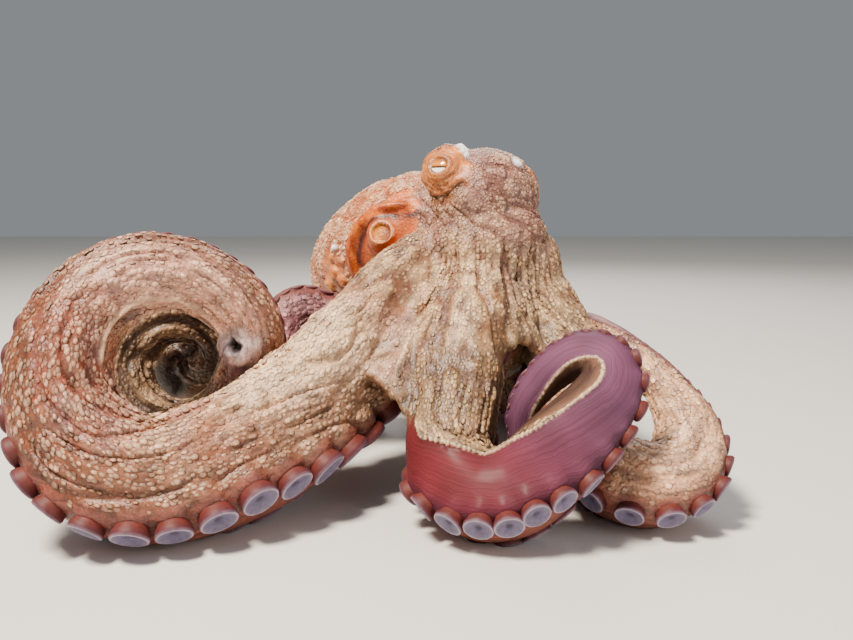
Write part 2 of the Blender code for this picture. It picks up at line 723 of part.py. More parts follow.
def arm_pieces(arm, floor, parts, cutters):
    """All lengths of one arm beyond the crown."""
    line = LINES[arm.name]
    starts = [arm.root_length] + [share * line.length for share in arm.cuts[1:]]
    ends = starts[1:] + [line.length]
    return [arm_length(line, index, start + GAP, end, floor, parts, cutters)
            for index, (start, end) in enumerate(zip(starts, ends))]


def floor_block(cutters):
    """The block below the floor, which gives the resting places their flats."""
    bulk = bmesh.new()
    bmesh.ops.create_cube(bulk, size=1.0)
    bulk.transform(Matrix.Diagonal((1.2, 1.2, 0.1, 1.0)))
    mesh = bpy.data.meshes.new("floor_block")
    bulk.to_mesh(mesh)
    bulk.free()
    block = bpy.data.objects.new("floor_block", mesh)
    block.location = (0, 0, -0.05)
    cutters.objects.link(block)
    hide_cutter(block)
    return block


# ---------------------------------------------------------------- whole animal

def stand_on_origin(parts, cutters):
    """Hang every piece on one empty, so that the model's foot centre is at the origin."""
    bpy.context.view_layer.update()
    corners = np.array([(item.matrix_world @ vert.co)[:] for item in parts.objects
                        for vert in item.data.vertices])
    low, high = corners.min(axis=0), corners.max(axis=0)
    anchor = bpy.data.objects.new("octopus_anchor", None)
    anchor.location = (-(low[0] + high[0]) / 2, -(low[1] + high[1]) / 2, -low[2])
    bpy.context.scene.collection.objects.link(anchor)
    for item in list(parts.objects) + list(cutters.objects):
        item.parent = anchor
    return anchor


def main():
    """Build the octopus."""
    clear_scene()
    parts = new_collection(OBJECT_NAME)
    cutters = new_collection("cutters")
    floor = floor_block(cutters)
    body = soft_body(parts, cutters)
    tan = skin_material("skin", (0.60, 0.45, 0.35))
    for piece in part_body(body, parts, cutters):
        piece.data.materials.append(tan)
        shade_round(piece)
    eyes(parts)
    funnel(parts, cutters)
    for arm in ARMS:
        arm_pieces(arm, floor, parts, cutters)
    stand_on_origin(parts, cutters)


main()
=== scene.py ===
"""The looks of a common octopus (Octopus vulgaris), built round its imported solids.

One skin covers every piece of flesh. It is melted from the same forms and sizes as the solids,
surveyed along the arms, and then carved with papillae, furrows, lids and lips. The suckers are
cups set out along each arm by Geometry Nodes, and the eyes are balls of their own.
Lengths are in millimetres in the design frame of the solids, and in metres in the scene.
"""

import itertools
import logging
import math
from dataclasses import dataclass
from enum import Enum

import bpy
import numpy as np
from mathutils import Matrix, Vector
from mathutils.kdtree import KDTree


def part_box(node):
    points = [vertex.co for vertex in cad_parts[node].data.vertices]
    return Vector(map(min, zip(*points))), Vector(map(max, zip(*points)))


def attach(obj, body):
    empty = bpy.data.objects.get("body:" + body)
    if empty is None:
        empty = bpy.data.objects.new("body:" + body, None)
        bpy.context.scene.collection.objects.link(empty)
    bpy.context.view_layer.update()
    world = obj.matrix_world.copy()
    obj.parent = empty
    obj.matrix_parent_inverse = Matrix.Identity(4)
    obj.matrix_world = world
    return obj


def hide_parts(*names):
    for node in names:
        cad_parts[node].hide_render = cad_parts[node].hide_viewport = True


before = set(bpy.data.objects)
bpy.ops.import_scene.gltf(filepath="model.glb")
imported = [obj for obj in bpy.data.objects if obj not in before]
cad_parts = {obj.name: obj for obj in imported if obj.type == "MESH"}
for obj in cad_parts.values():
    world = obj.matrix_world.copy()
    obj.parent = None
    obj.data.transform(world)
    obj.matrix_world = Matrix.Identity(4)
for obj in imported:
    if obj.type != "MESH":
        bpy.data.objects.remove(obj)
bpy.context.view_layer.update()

Array = np.ndarray
Piece = bpy.types.Object
Shape = tuple[Array, list]       # points in mm, and faces
LOG = logging.getLogger("octopus")
MM = 0.001
SEED = 11
HASHES = (2654435761, 2246822519, 3266489917)     # large odd numbers that mix bits well


# ---- numbers, vectors and noise

def linear_rgb(code: str) -> tuple[float, float, float]:
    """Turn an sRGB hex colour into linear red, green and blue.

    Args:
        code: a colour such as "#c08a5e".

    Returns:
        Linear values from 0 to 1.
    """
    values = [int(code[start:start + 2], 16) / 255 for start in (1, 3, 5)]
    return tuple(v / 12.92 if v <= 0.04045 else ((v + 0.055) / 1.055) ** 2.4 for v in values)


def unit(vectors: Array) -> Array:
    """Vectors scaled to length one along the last axis."""
    vectors = np.asarray(vectors, float)
    return vectors / np.maximum(np.linalg.norm(vectors, axis=-1, keepdims=True), 1e-9)


def ramp(values: Array, low: float, high: float) -> Array:
    """A smooth step from 0 at low to 1 at high; high may be the smaller one."""
    share = np.clip((values - low) / (high - low), 0, 1)
    return share * share * (3 - 2 * share)


def mix(first: Array, second: Array, share: Array) -> Array:
    """Blend two colours or two rows of colours by a share for each point."""
    share = np.asarray(share)[:, None]
    return first * (1 - share) + second * share


def tint(colours: Array, code: str, share: Array) -> Array:
    """Draw rows of colours towards one named colour by a share for each point."""
    return mix(colours, np.array(linear_rgb(code)), share)


def scatter(cells: Array, seed: int) -> Array:
    """A random value from 0 to 1 for each whole-numbered cell.

    Args:
        cells: cell coordinates, one row for each point.
        seed: which of many such sets of values.

    Returns:
        One value for each row.
    """
    whole = cells.astype(np.int64).astype(np.uint32)
    first, second, third = HASHES
    mixed = np.full(whole.shape[:-1], (seed * second + 374761393) & 0xFFFFFFFF, np.uint32)
    for axis in range(whole.shape[-1]):
        mixed ^= whole[..., axis] * np.uint32(first) + np.uint32(0x9E3779B9 + axis)
        mixed *= np.uint32(second)
        mixed ^= mixed >> np.uint32(13)
        mixed *= np.uint32(third)
        mixed ^= mixed >> np.uint32(16)
    return mixed / 2.0 ** 32


def drift(places: Array, seed: int) -> Array:
    """Smooth noise from 0 to 1, with one hill or hollow for about each unit of length.

    Args:
        places: coordinates in hills, one row for each point.
        seed: which of many such noises.

    Returns:
        One value for each row.
    """
    corner = np.floor(places)
    inside = places - corner
    inside = inside * inside * (3 - 2 * inside)
    total = np.zeros(len(places))
    for step in itertools.product((0, 1), repeat=places.shape[1]):
        share = np.prod(np.where(step, inside, 1 - inside), axis=1)
        total += share * scatter(corner + step, seed)
    return total


def cells(places: Array, seed: int, jitter: float = 0.8) -> tuple[Array, Array]:
    """Find the nearest of many scattered grains, one in each cell of a grid.

    Args:
        places: coordinates in grain spacings, one row for each point.
        seed: which of many such sets of grains.
        jitter: how far a grain may stray within its cell.

    Returns:
        The distance to the nearest grain, and that grain's own random value.
    """
    corner = np.floor(places)
    nearest = np.full(len(places), 9.0)
    chance = np.zeros(len(places))
    for step in itertools.product((-1, 0, 1), repeat=places.shape[1]):
        cell = corner + step
        away = np.zeros(len(places))
        for axis in range(places.shape[1]):
            stray = 0.5 + jitter * (scatter(cell, seed + 1 + axis) - 0.5)
            away += (cell[:, axis] + stray - places[:, axis]) ** 2
        away = np.sqrt(away)
        closer = away < nearest
        chance = np.where(closer, scatter(cell, seed), chance)
        nearest = np.where(closer, away, nearest)
    return nearest, chance


# ---- the animal's build

class Slot(Enum):
    """The finishes that the model's pieces are listed under."""

    SKIN = "skin"
    EYE = "eye"


@dataclass(frozen=True)
class Arm:
    """One arm: the line it follows, how thick it is and which way its suckers face.

    The stations and curls are those of the solids, and so are the girths, but for the fuller
    last curls of the first and second right arms.

    Attributes:
        name: the arm's name, as its nodes have it.
        route: stations of its centre line in mm, root first.
        girth: share of the length, depth from back to suckers, and width, in mm.
        curl_centre: point that the suckers face away from.
        curl_axis: axis that the arm curls about.
        curl_from: share of the length at which the curl starts.
        tilts: share of the length, and how far the suckers lean along the axis there.
        sucker_share: diameter of a sucker in depths of the arm.
        suckers_from: mm from the root to the first sucker.
        sunk_from: mm from the root past which the suckers lie deeper and are painted darker, partly
            their own maroon and partly painted shade.
        lies_from: share of the length past which the arm lies on the floor.
    """

    name: str
    route: tuple
    girth: tuple
    curl_centre: tuple = None
    curl_axis: tuple = (0, 0, 1)
    curl_from: float = 1.0
    tilts: tuple = ((0, 0), (1, 0))
    sucker_share: float = 0.36
    suckers_from: float = 40.0
    sunk_from: float = 9999.0
    lies_from: float = math.inf


HIDDEN_GIRTH = ((0, 38, 38), (0.25, 33, 32), (0.5, 25, 24), (0.75, 16, 15), (1, 5, 5))

ARMS = (
    Arm("arm_right1",
        ((30, 0, 114), (24, -24, 94), (17, -47, 71), (13, -68, 48), (10, -84, 31),
         (14, -98, 23), (26, -108, 18), (43, -111, 24), (60, -110, 40), (74, -106, 55),
         (84, -100, 69), (84, -91, 79), (74, -83, 82), (61, -79, 74), (50, -77, 62),
         (44, -76, 50), (45, -77, 38), (53, -82, 38), (61, -86, 47)),
        ((0, 36, 44), (0.2, 36, 47), (0.36, 40, 40), (0.5, 41, 32), (0.58, 40, 30),
         (0.66, 32, 26), (0.72, 25, 21), (0.85, 18, 15), (1, 7, 7)),
        (62, -96, 60), (0.05, -0.93, 0.36), 0.40,
        ((0, 0), (0.5, 0), (0.7, -0.5), (1, -0.5)), sunk_from=235.0),
    Arm("arm_right2",
        ((22, 12, 118), (3, 8, 112), (-16, -8, 96), (-34, -30, 72), (-54, -54, 51),
         (-74, -77, 36), (-97, -95, 28), (-120, -106, 25), (-141, -110, 31),
         (-157, -106, 44), (-167, -100, 65), (-165, -92, 90), (-154, -82, 108),
         (-138, -72, 118), (-119, -61, 118), (-101, -50, 107), (-89, -41, 87),
         (-92, -35, 62), (-108, -31, 38), (-132, -29, 27), (-155, -26, 36),
         (-166, -22, 58), (-160, -16, 78), (-146, -10, 88), (-130, -4, 86),
         (-120, 2, 73), (-124, 8, 59), (-137, 12, 55), (-146, 15, 64)),
        ((0, 40, 38), (0.09, 54, 40), (0.145, 66, 42), (0.255, 63, 44), (0.345, 57, 44),
         (0.42, 48, 42), (0.49, 40, 38), (0.56, 33, 33), (0.66, 31, 31), (0.78, 30, 30),
         (0.9, 25, 25), (0.985, 18, 18), (1, 8, 8)),
        (-126, -70, 73), (-0.10, -0.93, 0.35), 0.22,
        ((0, 0), (0.33, 0), (0.42, -0.3), (0.51, -0.8), (0.6, -1.0), (1, -0.4)),
        sucker_share=0.31, suckers_from=70.0, sunk_from=250.0),
    Arm("arm_left1",
        ((38, 12, 112), (55, 9, 104), (66, 3, 90), (75, -11, 68), (80, -31, 45),
         (82, -53, 28), (85, -72, 21), (95, -87, 18), (109, -91, 18), (122, -85, 23),
         (130, -70, 33), (130, -51, 46), (123, -30, 60), (113, -11, 71), (103, 9, 78),
         (97, 36, 80), (90, 64, 77), (82, 86, 73), (66, 96, 69), (54, 88, 67)),
        ((0, 36, 38), (0.2, 38, 40), (0.3, 40, 42), (0.40, 41, 42), (0.5, 32, 36),
         (0.57, 24, 27), (0.65, 18, 19), (0.75, 12, 12), (0.88, 8, 8), (1, 5, 5)),
        (106, -60, 44), (0.10, -0.86, 0.50), 0.26, ((0, 0), (1, -0.1)),
        sunk_from=195.0),
    Arm("arm_right3",
        ((12, 18, 92), (-12, 22, 80), (-36, 24, 78), (-58, 22, 86), (-76, 16, 91),
         (-86, 0, 78), (-82, -8, 54), (-70, 8, 28), (-68, 34, 14), (-84, 62, 12),
         (-108, 82, 10), (-130, 92, 9)),
        ((0, 34, 32), (0.2, 30, 28), (0.4, 26, 25), (0.6, 20, 20), (0.8, 14, 14), (1, 5, 5)),
        (-54, 0, 56), (0.0, -1.0, 0.2), 0.12, sunk_from=40.0, lies_from=0.66),
    Arm("arm_right4",
        ((8, 26, 84), (-12, 42, 58), (-32, 64, 30), (-50, 88, 17), (-74, 110, 13),
         (-86, 138, 12), (-76, 164, 10), (-52, 170, 9), (-38, 152, 7), (-48, 136, 6)),
        HIDDEN_GIRTH, lies_from=0.33),
    Arm("arm_left4",
        ((24, 30, 84), (22, 54, 56), (16, 84, 28), (8, 118, 17), (4, 152, 13),
         (12, 188, 11), (34, 212, 9), (60, 208, 8), (68, 186, 6), (52, 174, 6)),
        HIDDEN_GIRTH, lies_from=0.33),
    Arm("arm_left3",
        ((38, 24, 84), (50, 46, 56), (57, 72, 28), (61, 104, 17), (75, 136, 13),
         (98, 160, 11), (110, 190, 10), (100, 218, 8), (76, 230, 6), (60, 244, 5)),
        HIDDEN_GIRTH, lies_from=0.33),
    Arm("arm_left2",
        ((44, 14, 92), (66, 20, 72), (86, 26, 46), (96, 42, 25), (103, 70, 16),
         (117, 98, 12), (137, 124, 10), (150, 154, 8), (152, 182, 6), (140, 204, 5)),
        HIDDEN_GIRTH, lies_from=0.33),
)

# Webs of skin between neighbouring arms: how far each reaches along its two arms in mm, and how
# deep its free edge is notched.
WEBS = (
    ("arm_right2", "arm_right1", 108, 113, 0.08),
    ("arm_right1", "arm_left1", 86, 88, 0.36),
    ("arm_left1", "arm_left2", 84, 56, 0.30),
    ("arm_left2", "arm_left3", 56, 56, 0.35),
    ("arm_left3", "arm_left4", 56, 56, 0.35),
    ("arm_left4", "arm_right4", 56, 56, 0.35),
    ("arm_right4", "arm_right3", 56, 54, 0.35),
    ("arm_right3", "arm_right2", 52, 84, 0.35),
)


class ArmLine:
    """The centre line of an arm, marked every millimetre, with its girth and its facing."""

    fine_step = 0.25             # mm between the points of the curve through the stations
    easing = 17                  # marks over which each bend is eased
    underside = 0.41             # centre line to the floor on a lying arm, in depths
    flat_depth = 0.5             # how far a lying arm's flat is pressed, in mm
    lying_blend = 0.22           # share of the length over which an arm comes down
    curl_blend = 0.1             # share of the length over which the suckers turn outward
    squareness = (0.85, 0.80)    # powers that fill out the ring, across and from back to suckers
    halves = (0.44, 0.54)        # centre line to the sucker side and to the back, in depths

    def __init__(self, arm: Arm) -> None:
        """Work out the line of one arm.

        Args:
            arm: the arm's stations, girths and curl.
        """
        self.arm = arm
        self.marks, self.points = self.smooth(arm.route)
        self.length = float(self.marks[-1])
        share = self.marks / self.length
        shares, depths, widths = zip(*arm.girth)
        self.depth = np.interp(share, shares, depths)
        self.width = np.interp(share, shares, widths)
        lying = np.clip((share - arm.lies_from) / self.lying_blend, 0, 1)
        resting = self.underside * self.depth - self.flat_depth
        self.points[:, 2] += lying * (resting - self.points[:, 2])
        self.tangent = unit(np.gradient(self.points, axis=0))
        self.mouthward = self.facing(share)
        self.sideways = np.cross(self.tangent, self.mouthward)

    @classmethod
    def smooth(cls, stations: tuple) -> tuple[Array, Array]:
        """Marks and points a millimetre apart on a curve through the stations.

        Args:
            stations: points of the centre line, root first.

        Returns:
            The distance of each mark along the line, and its point.
        """
        knots = np.asarray(stations, float)
        knots = np.vstack((2 * knots[0] - knots[1], knots, 2 * knots[-1] - knots[-2]))
        pieces = []
        for before, start, end, after in zip(knots, knots[1:], knots[2:], knots[3:]):
            count = max(2, int(np.linalg.norm(end - start) / cls.fine_step))
            t = np.linspace(0, 1, count, endpoint=False)[:, None]
            pieces.append(0.5 * (2 * start + (end - before) * t
                                 + (2 * before - 5 * start + 4 * end - after) * t ** 2
                                 + (3 * start - 3 * end + after - before) * t ** 3))
        dense = np.vstack(pieces + [knots[-2:-1]])
        steps = np.linalg.norm(np.diff(dense, axis=0), axis=1)
        along = np.concatenate(([0], np.cumsum(steps)))
        marks = np.linspace(0, along[-1], int(along[-1]) + 1)
        points = np.column_stack([np.interp(marks, along, dense[:, axis]) for axis in range(3)])
        reach = cls.easing // 2
        kernel = np.ones(cls.easing) / cls.easing
        eased = np.column_stack([np.convolve(points[:, axis], kernel, "same") for axis in range(3)])
        points[reach:-reach] = eased[reach:-reach]
        return marks, points

    def facing(self, share: Array) -> Array:
        """Unit vectors from the back of the arm to its suckers, for each mark.

        Args:
            share: each mark's share of the length.

        Returns:
            One unit vector for each mark.
        """
        arm = self.arm
        facing = np.tile(np.array((0.0, 0.0, -1.0)), (len(share), 1))
        if arm.curl_centre:
            axis = unit(arm.curl_axis)
            away = self.points - np.array(arm.curl_centre, float)
            lean = np.interp(share, *zip(*arm.tilts))[:, None]
            away = unit(away - np.outer(away @ axis, axis)) + lean * axis
            blend = np.clip((share - arm.curl_from) / self.curl_blend + 0.5, 0, 1)[:, None]
            facing = (1 - blend) * facing + blend * away
        return unit(facing - np.sum(facing * self.tangent, axis=1)[:, None] * self.tangent)

    def at(self, mark: float) -> tuple:
        """Centre, tangent, sucker direction, side direction, depth and width at a mark.

        Args:
            mark: mm from the root.

        Returns:
            The six values, mixed from the two marks beside it.
        """
        index = min(int(np.searchsorted(self.marks, mark, "right")) - 1, len(self.marks) - 2)
        share = (mark - self.marks[index]) / (self.marks[index + 1] - self.marks[index])
        rows = (self.points, self.tangent, self.mouthward, self.sideways, self.depth, self.width)
        mixed = [row[index] * (1 - share) + row[index + 1] * share for row in rows]
        return mixed[0], unit(mixed[1]), unit(mixed[2]), unit(mixed[3]), mixed[4], mixed[5]

    def ring(self, mark: float, sides: int) -> Array:
        """Points of the cross-section at a mark: a rounded back and a flatter sucker side.

        Args:
            mark: mm from the root.
            sides: points on the ring.

        Returns:
            The points in mm.
        """
        centre, _, mouthward, sideways, depth, width = self.at(mark)
        angle = (np.arange(sides) + 0.5) * 2 * math.pi / sides
        across, toward = np.sin(angle), -np.cos(angle)
        across = np.sign(across) * np.abs(across) ** self.squareness[0] * width / 2
        toward = np.sign(toward) * np.abs(toward) ** self.squareness[1]
        toward = np.where(toward > 0, toward * self.halves[0], toward * self.halves[1]) * depth
        return centre + np.outer(across, sideways) + np.outer(toward, mouthward)


LINES = {arm.name: ArmLine(arm) for arm in ARMS}


@dataclass(frozen=True)
class Ellipsoid:
    """A soft egg-shaped form: where it is, its half sizes and how it is turned."""

    centre: Vector
    half: tuple
    turn: Matrix = Matrix.Identity(3)

    def mesh(self, around: int = 48, rings: int = 28) -> Shape:
        """Points and faces of the egg.

        Args:
            around: points on each ring.
            rings: rings from pole to pole.

        Returns:
            The points in mm and the faces.
        """
        tilt = np.linspace(0, math.pi, rings + 1)[1:-1]
        angle = np.arange(around) * 2 * math.pi / around
        grid = np.stack([np.outer(np.sin(tilt), np.cos(angle)), np.outer(np.sin(tilt), np.sin(angle)),
            np.outer(np.cos(tilt), np.ones(around))], axis=-1)
        points = np.vstack((grid.reshape(-1, 3)[::-1], (0, 0, -1), (0, 0, 1)))
        points = points * np.array(self.half) @ np.array(self.turn).T + np.array(self.centre)
        faces = tube_faces(rings - 1, around)[:-2]
        low, high = len(points) - 2, len(points) - 1
        top = (rings - 2) * around
        for step in range(around):
            after = (step + 1) % around
            faces.append((low, after, step))
            faces.append((high, top + step, top + after))
        return points, faces

    def beyond(self, points: Array) -> Array:
        """About how far each point lies outside the egg, in mm; negative inside."""
        local = (points - np.array(self.centre)) @ np.array(self.turn) / np.array(self.half)
        return (np.linalg.norm(local, axis=1) - 1) * min(self.half)


def tube_faces(rings: int, sides: int) -> list:
    """Faces of a closed tube of rings, with one face across each end."""
    ring = np.arange(rings * sides).reshape(rings, sides)
    beside = np.roll(ring, -1, axis=1)
    walls = np.stack((ring[:-1], beside[:-1], beside[1:], ring[1:]), axis=-1)
    return [*walls.reshape(-1, 4).tolist(), ring[0, ::-1].tolist(), ring[-1].tolist()]


def turned_to(axis: Vector) -> Matrix:
    """The rotation that lays +Z along an axis."""
    return Vector(axis).to_track_quat("Z", "Y").to_matrix()


def swept(path: Array, radii: Array, sides: int = 16) -> Shape:
    """Points and faces of a round bar along a path.

    Args:
        path: the bar's centre line.
        radii: its radius at each point.
        sides: points on each ring.

    Returns:
        The points in mm and the faces.
    """
    tangent = unit(np.gradient(path, axis=0))
    across = unit(np.cross(tangent, np.array((0.3, 0.2, 1.0))))
    upward = np.cross(tangent, across)
    angle = np.arange(sides) * 2 * math.pi / sides
    rings = [centre + radius * (np.outer(np.cos(angle), a) + np.outer(np.sin(angle), b))
             for centre, radius, a, b in zip(path, radii, across, upward)]
    return np.vstack(rings), tube_faces(len(path), sides)


def slab(grid: Array, thickness: float) -> Shape:
    """Points and faces of a closed sheet.

    Args:
        grid: rows and columns of points on its middle surface.
        thickness: from face to face.

    Returns:
        The points in mm and the faces.
    """
    rows, columns = grid.shape[:2]
    normal = unit(np.cross(np.gradient(grid, axis=0), np.gradient(grid, axis=1)))
    half = normal * thickness / 2
    points = np.vstack(((grid + half).reshape(-1, 3), (grid - half).reshape(-1, 3)))
    under = rows * columns
    spot = np.arange(under).reshape(rows, columns)
    quads = np.stack((spot[:-1, :-1], spot[:-1, 1:], spot[1:, 1:], spot[1:, :-1]), axis=-1)
    quads = quads.reshape(-1, 4)
    sheets = np.stack((quads[:, ::-1], quads + under), axis=1).reshape(-1, 4)
    edge = np.concatenate((spot[0], spot[1:, -1], spot[-1, -2::-1], spot[-2:0:-1, 0]))
    after = np.roll(edge, -1)
    rim = np.column_stack((edge, after, after + under, edge + under))
    return points, np.vstack((sheets, rim)).tolist()


@dataclass(frozen=True)
class Anatomy:
    """Where the head, eyes, mantle, crown and funnel are, in mm, as in the solids.

    Attributes:
        facing: which way the head looks, round from +X.
        eye_seats: each eye with its side, how far out and up it is, and how far it looks ahead.
        funnel_radii: the funnel's tube at its foot and at its mouth.
        web_start: distance from an arm's root at which its webs begin.
        web_bulge: how far a web bellies out, in widths of the gap.
        web_seat: where a web joins an arm, in widths to the side and depths to the back.
        fullness: centre and half sizes of the soft forms beside the neck, in the coil's eye,
            beside the funnel and in the last turn of the coil.
        lid_radius: outside of the lids, from the middle of the eye.
        lip_route: stations of the swollen edge of the mantle's opening.
        furrow_head: where the crown's furrows meet, north of its middle and up.
    """

    facing: float = math.radians(-62)
    eye_radius: float = 10.0
    eye_seats: tuple = (("eye_right", 1, 25, 13, 0.6), ("eye_left", -1, 22, 7, 0.2))
    head_centre: tuple = (33, 8, 154)
    head_half: tuple = (32, 27, 27)
    mantle_centre: tuple = (-20, 80, 118)
    mantle_half: tuple = (48, 44, 80)
    mantle_axis: tuple = (-0.56, 0.72, -0.40)
    crown_centre: tuple = (28, 8, 88)
    crown_half: tuple = (41, 38, 42)
    funnel_centre: tuple = (-21, 37, 126)
    funnel_half: tuple = (16, 14, 21)
    funnel_mouth: tuple = (-26.5, 16, 134)
    funnel_radii: tuple = (10, 6.8)
    web_thickness: float = 6.5
    web_start: float = 12.0
    web_bulge: float = 0.10
    web_seat: tuple = (0.34, 0.16)
    fullness: tuple = (((47, 10, 112), (30, 26, 32)), ((40, 2, 132), (27, 24, 24)),
        ((-93, -52, 79), (11.5, 9.0, 10.5)), ((-24, 24, 131), (12, 8, 13)),
        ((-150, 15, 53), (12, 9, 19)), ((-137, 16, 43), (15, 9, 12)), ((-138, 16, 67), (10, 8, 9)))
    lid_radius: float = 11.2
    lip_route: tuple = ((-9, 17, 150), (-17, 20, 150), (-26, 24, 148), (-36, 30, 142),
                        (-43, 35, 132), (-46, 37, 120), (-44, 38, 108), (-37, 37, 99))
    lip_radius: float = 4.2
    furrow_head: tuple = (6.0, 160.0)
    crown_radius: float = 46.0

    def head_turn(self) -> Matrix:
        """The rotation from the head's own axes to the world: X eye to eye, Y forward."""
        return Matrix.Rotation(self.facing - math.radians(90), 3, "Z")

    def eyes(self) -> dict[str, tuple[Vector, Vector]]:
        """Centre and outward direction of each eyeball.

        Returns:
            Both values for each eye's node.
        """
        across = self.head_turn() @ Vector((1, 0, 0))
        forward = self.head_turn() @ Vector((0, 1, 0))
        middle = Vector(self.head_centre)
        found = {}
        for name, side, reach, lift, ahead in self.eye_seats:
            out = across * side + forward * ahead + Vector((0, 0, 0.05))
            found[name] = (middle + across * side * reach + Vector((0, 0, lift)), out.normalized())
        return found

    def head_forms(self) -> list[Ellipsoid]:
        """The head's middle, neck and throat, with a turret and a bag for each eye.

        Returns:
            The forms, which overlap.
        """
        turn = self.head_turn()
        centre = Vector(self.head_centre)
        forms = [Ellipsoid(centre, self.head_half, turn),
                 Ellipsoid(centre + turn @ Vector((-6, -26, -8)), (30, 30, 27), turn),
                 Ellipsoid(centre + Vector((0, -2, -30)), (33, 31, 32), turn)]
        for place, out in self.eyes().values():
            level = out.cross(Vector((0, 0, 1))).normalized()
            forms.append(Ellipsoid(place - out * 5, (15, 16.5, 13), turned_to(out)))
            forms.append(Ellipsoid(place - out * 4 + level * 4.5, (12.5, 14.5, 11.5), turned_to(out)))
            forms.append(Ellipsoid(place - out * 5 - Vector((0, 0, 9)), (13, 12, 12), turned_to(out)))
            forms.append(Ellipsoid(place, (self.lid_radius,) * 3, turned_to(out)))
        return forms

    def mantle_forms(self) -> list[Ellipsoid]:
        """The mantle's bag and the collar at its opening."""
        turn = turned_to(Vector(self.mantle_axis))
        centre = Vector(self.mantle_centre)
        collar = centre - Vector(self.mantle_axis).normalized() * 34
        return [Ellipsoid(centre, self.mantle_half, turn), Ellipsoid(collar, (42, 37, 28), turn)]

    def funnel_form(self) -> Ellipsoid:
        """The funnel's bulb."""
        return Ellipsoid(Vector(self.funnel_centre), self.funnel_half)

    def crown_lay(self, points: Array) -> Array:
        """Distances down and around the crown, whose furrows all run down from the head."""
        east = points[:, 0] - self.crown_centre[0]
        north = points[:, 1] - self.crown_centre[1] - self.furrow_head[0]
        down = np.hypot(np.hypot(east, north), self.furrow_head[1] - points[:, 2])
        return np.column_stack((down, np.arctan2(east, -north) * self.crown_radius))

    @staticmethod
    def askew(points: Array) -> Array:
        """Points in axes that line up with nothing, so that no grid shows in a texture."""
        return points @ np.array(Matrix.Rotation(0.7, 3, Vector((1.0, 0.6, 0.3))))

    def lip_path(self) -> Array:
        """The line of the swollen edge of the mantle's opening."""
        return ArmLine.smooth(self.lip_route)[1]

    def funnel_tube(self) -> Shape:
        """Points and faces of the funnel's short tube.

        Returns:
            The points in mm and the faces.
        """
        start, end = np.array(self.funnel_centre, float), np.array(self.funnel_mouth, float)
        wide, narrow = self.funnel_radii
        share = np.array((0, 0.5, 0.96, 1.0))
        path = start + np.outer(share, end - start)
        return swept(path, np.array((wide, (wide + narrow) / 2, narrow, narrow - 0.8)), 32)

    def web(self, arm_a: str, arm_b: str, reach_a: float, reach_b: float, notch: float) -> Shape:
        """Points and faces of the sheet between the facing sides of two arms.

        Args:
            arm_a, arm_b: names of the arms.
            reach_a, reach_b: how far down each arm it reaches, in mm.
            notch: depth of its notched free edge, as a share.

        Returns:
            The points in mm and the faces.
        """
        rows, columns = 40, 32
        line_a, line_b = LINES[arm_a], LINES[arm_b]
        grid = np.zeros((rows + 1, columns + 1, 3))
        for row, column in itertools.product(range(rows + 1), range(columns + 1)):
            u = column / columns
            fall = row / rows * (1 - notch * math.sin(math.pi * u))
            ends = []
            for line, reach, other in ((line_a, reach_a, line_b), (line_b, reach_b, line_a)):
                mark = self.web_start + fall * (reach - self.web_start)
                centre, _, mouthward, sideways, depth, width = line.at(mark)
                side = 1 if np.dot(other.at(mark)[0] - centre, sideways) > 0 else -1
                ends.append(centre + sideways * side * width * self.web_seat[0]
                            - mouthward * depth * self.web_seat[1])
            point = ends[0] * (1 - u) + ends[1] * u
            outward = point - np.array((self.crown_centre[0], self.crown_centre[1], point[2]))
            bulge = self.web_bulge * np.linalg.norm(ends[1] - ends[0]) * math.sin(math.pi * u)
            grid[row, column] = point + unit(outward + np.array((0, 0, 20))) * bulge
        return slab(grid, self.web_thickness)


BODY = Anatomy()
# A point of the plane that parts the mantle from the crown, and the way to the mantle.
MANTLE_PLANE = (np.array((6.0, 50.0, 120.0)), unit(np.array((-0.60, 0.72, 0.28))))


# How far the scene's frame lies from the design frame, in mm, read off an eye.
EYE_LOW, EYE_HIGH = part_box("eye_right")
SHIFT = np.array((EYE_LOW + EYE_HIGH) / 2) / MM - np.array(BODY.eyes()["eye_right"][0])
FLOOR_GAP = 0.02                 # mm of air that is left under the skin, so nothing dips below 0


# ---- meshes

def placed(name: str, data: bpy.types.ID) -> Piece:
    """An object for a mesh, a lamp or a camera, linked into the scene."""
    made = bpy.data.objects.new(name, data)
    bpy.context.scene.collection.objects.link(made)
    return made


def mesh_object(name: str, points: Array, faces: list) -> Piece:
    """A mesh object at the origin, from points in mm of the design frame."""
    mesh = bpy.data.meshes.new(name)
    mesh.from_pydata(((points + SHIFT) * MM).tolist(), [], faces)
    mesh.update()
    return placed(name, mesh)


def gather(shapes: list[Shape]) -> Shape:
    """Several shapes as one set of points and faces.

    Args:
        shapes: points and faces of each.

    Returns:
        The points in mm and the faces.
    """
    points, faces, start = [], [], 0
    for shape_points, shape_faces in shapes:
        points.append(shape_points)
        faces.extend(tuple(corner + start for corner in face) for face in shape_faces)
        start += len(shape_points)
    return np.vstack(points), faces


def apply_modifiers(target: Piece) -> None:
    """Replace an object's mesh with its evaluated one and drop its modifiers.

    Args:
        target: the object.
    """
    bpy.context.view_layer.update()
    graph = bpy.context.evaluated_depsgraph_get()
    mesh = bpy.data.meshes.new_from_object(target.evaluated_get(graph))
    target.modifiers.clear()
    old = target.data
    target.data = mesh
    mesh.name = target.name
    bpy.data.meshes.remove(old)


def read(items: bpy.types.bpy_prop_collection, field: str, width: int, kind: type = float) -> Array:
    """Read one field of every point or edge of a mesh.

    Args:
        items: the mesh's points, normals or edges.
        field: the field's name.
        width: how many numbers it holds.
        kind: their type.

    Returns:
        One row for each item.
    """
    flat = np.zeros(len(items) * width, kind)
    items.foreach_get(field, flat)
    return flat.reshape(-1, width)


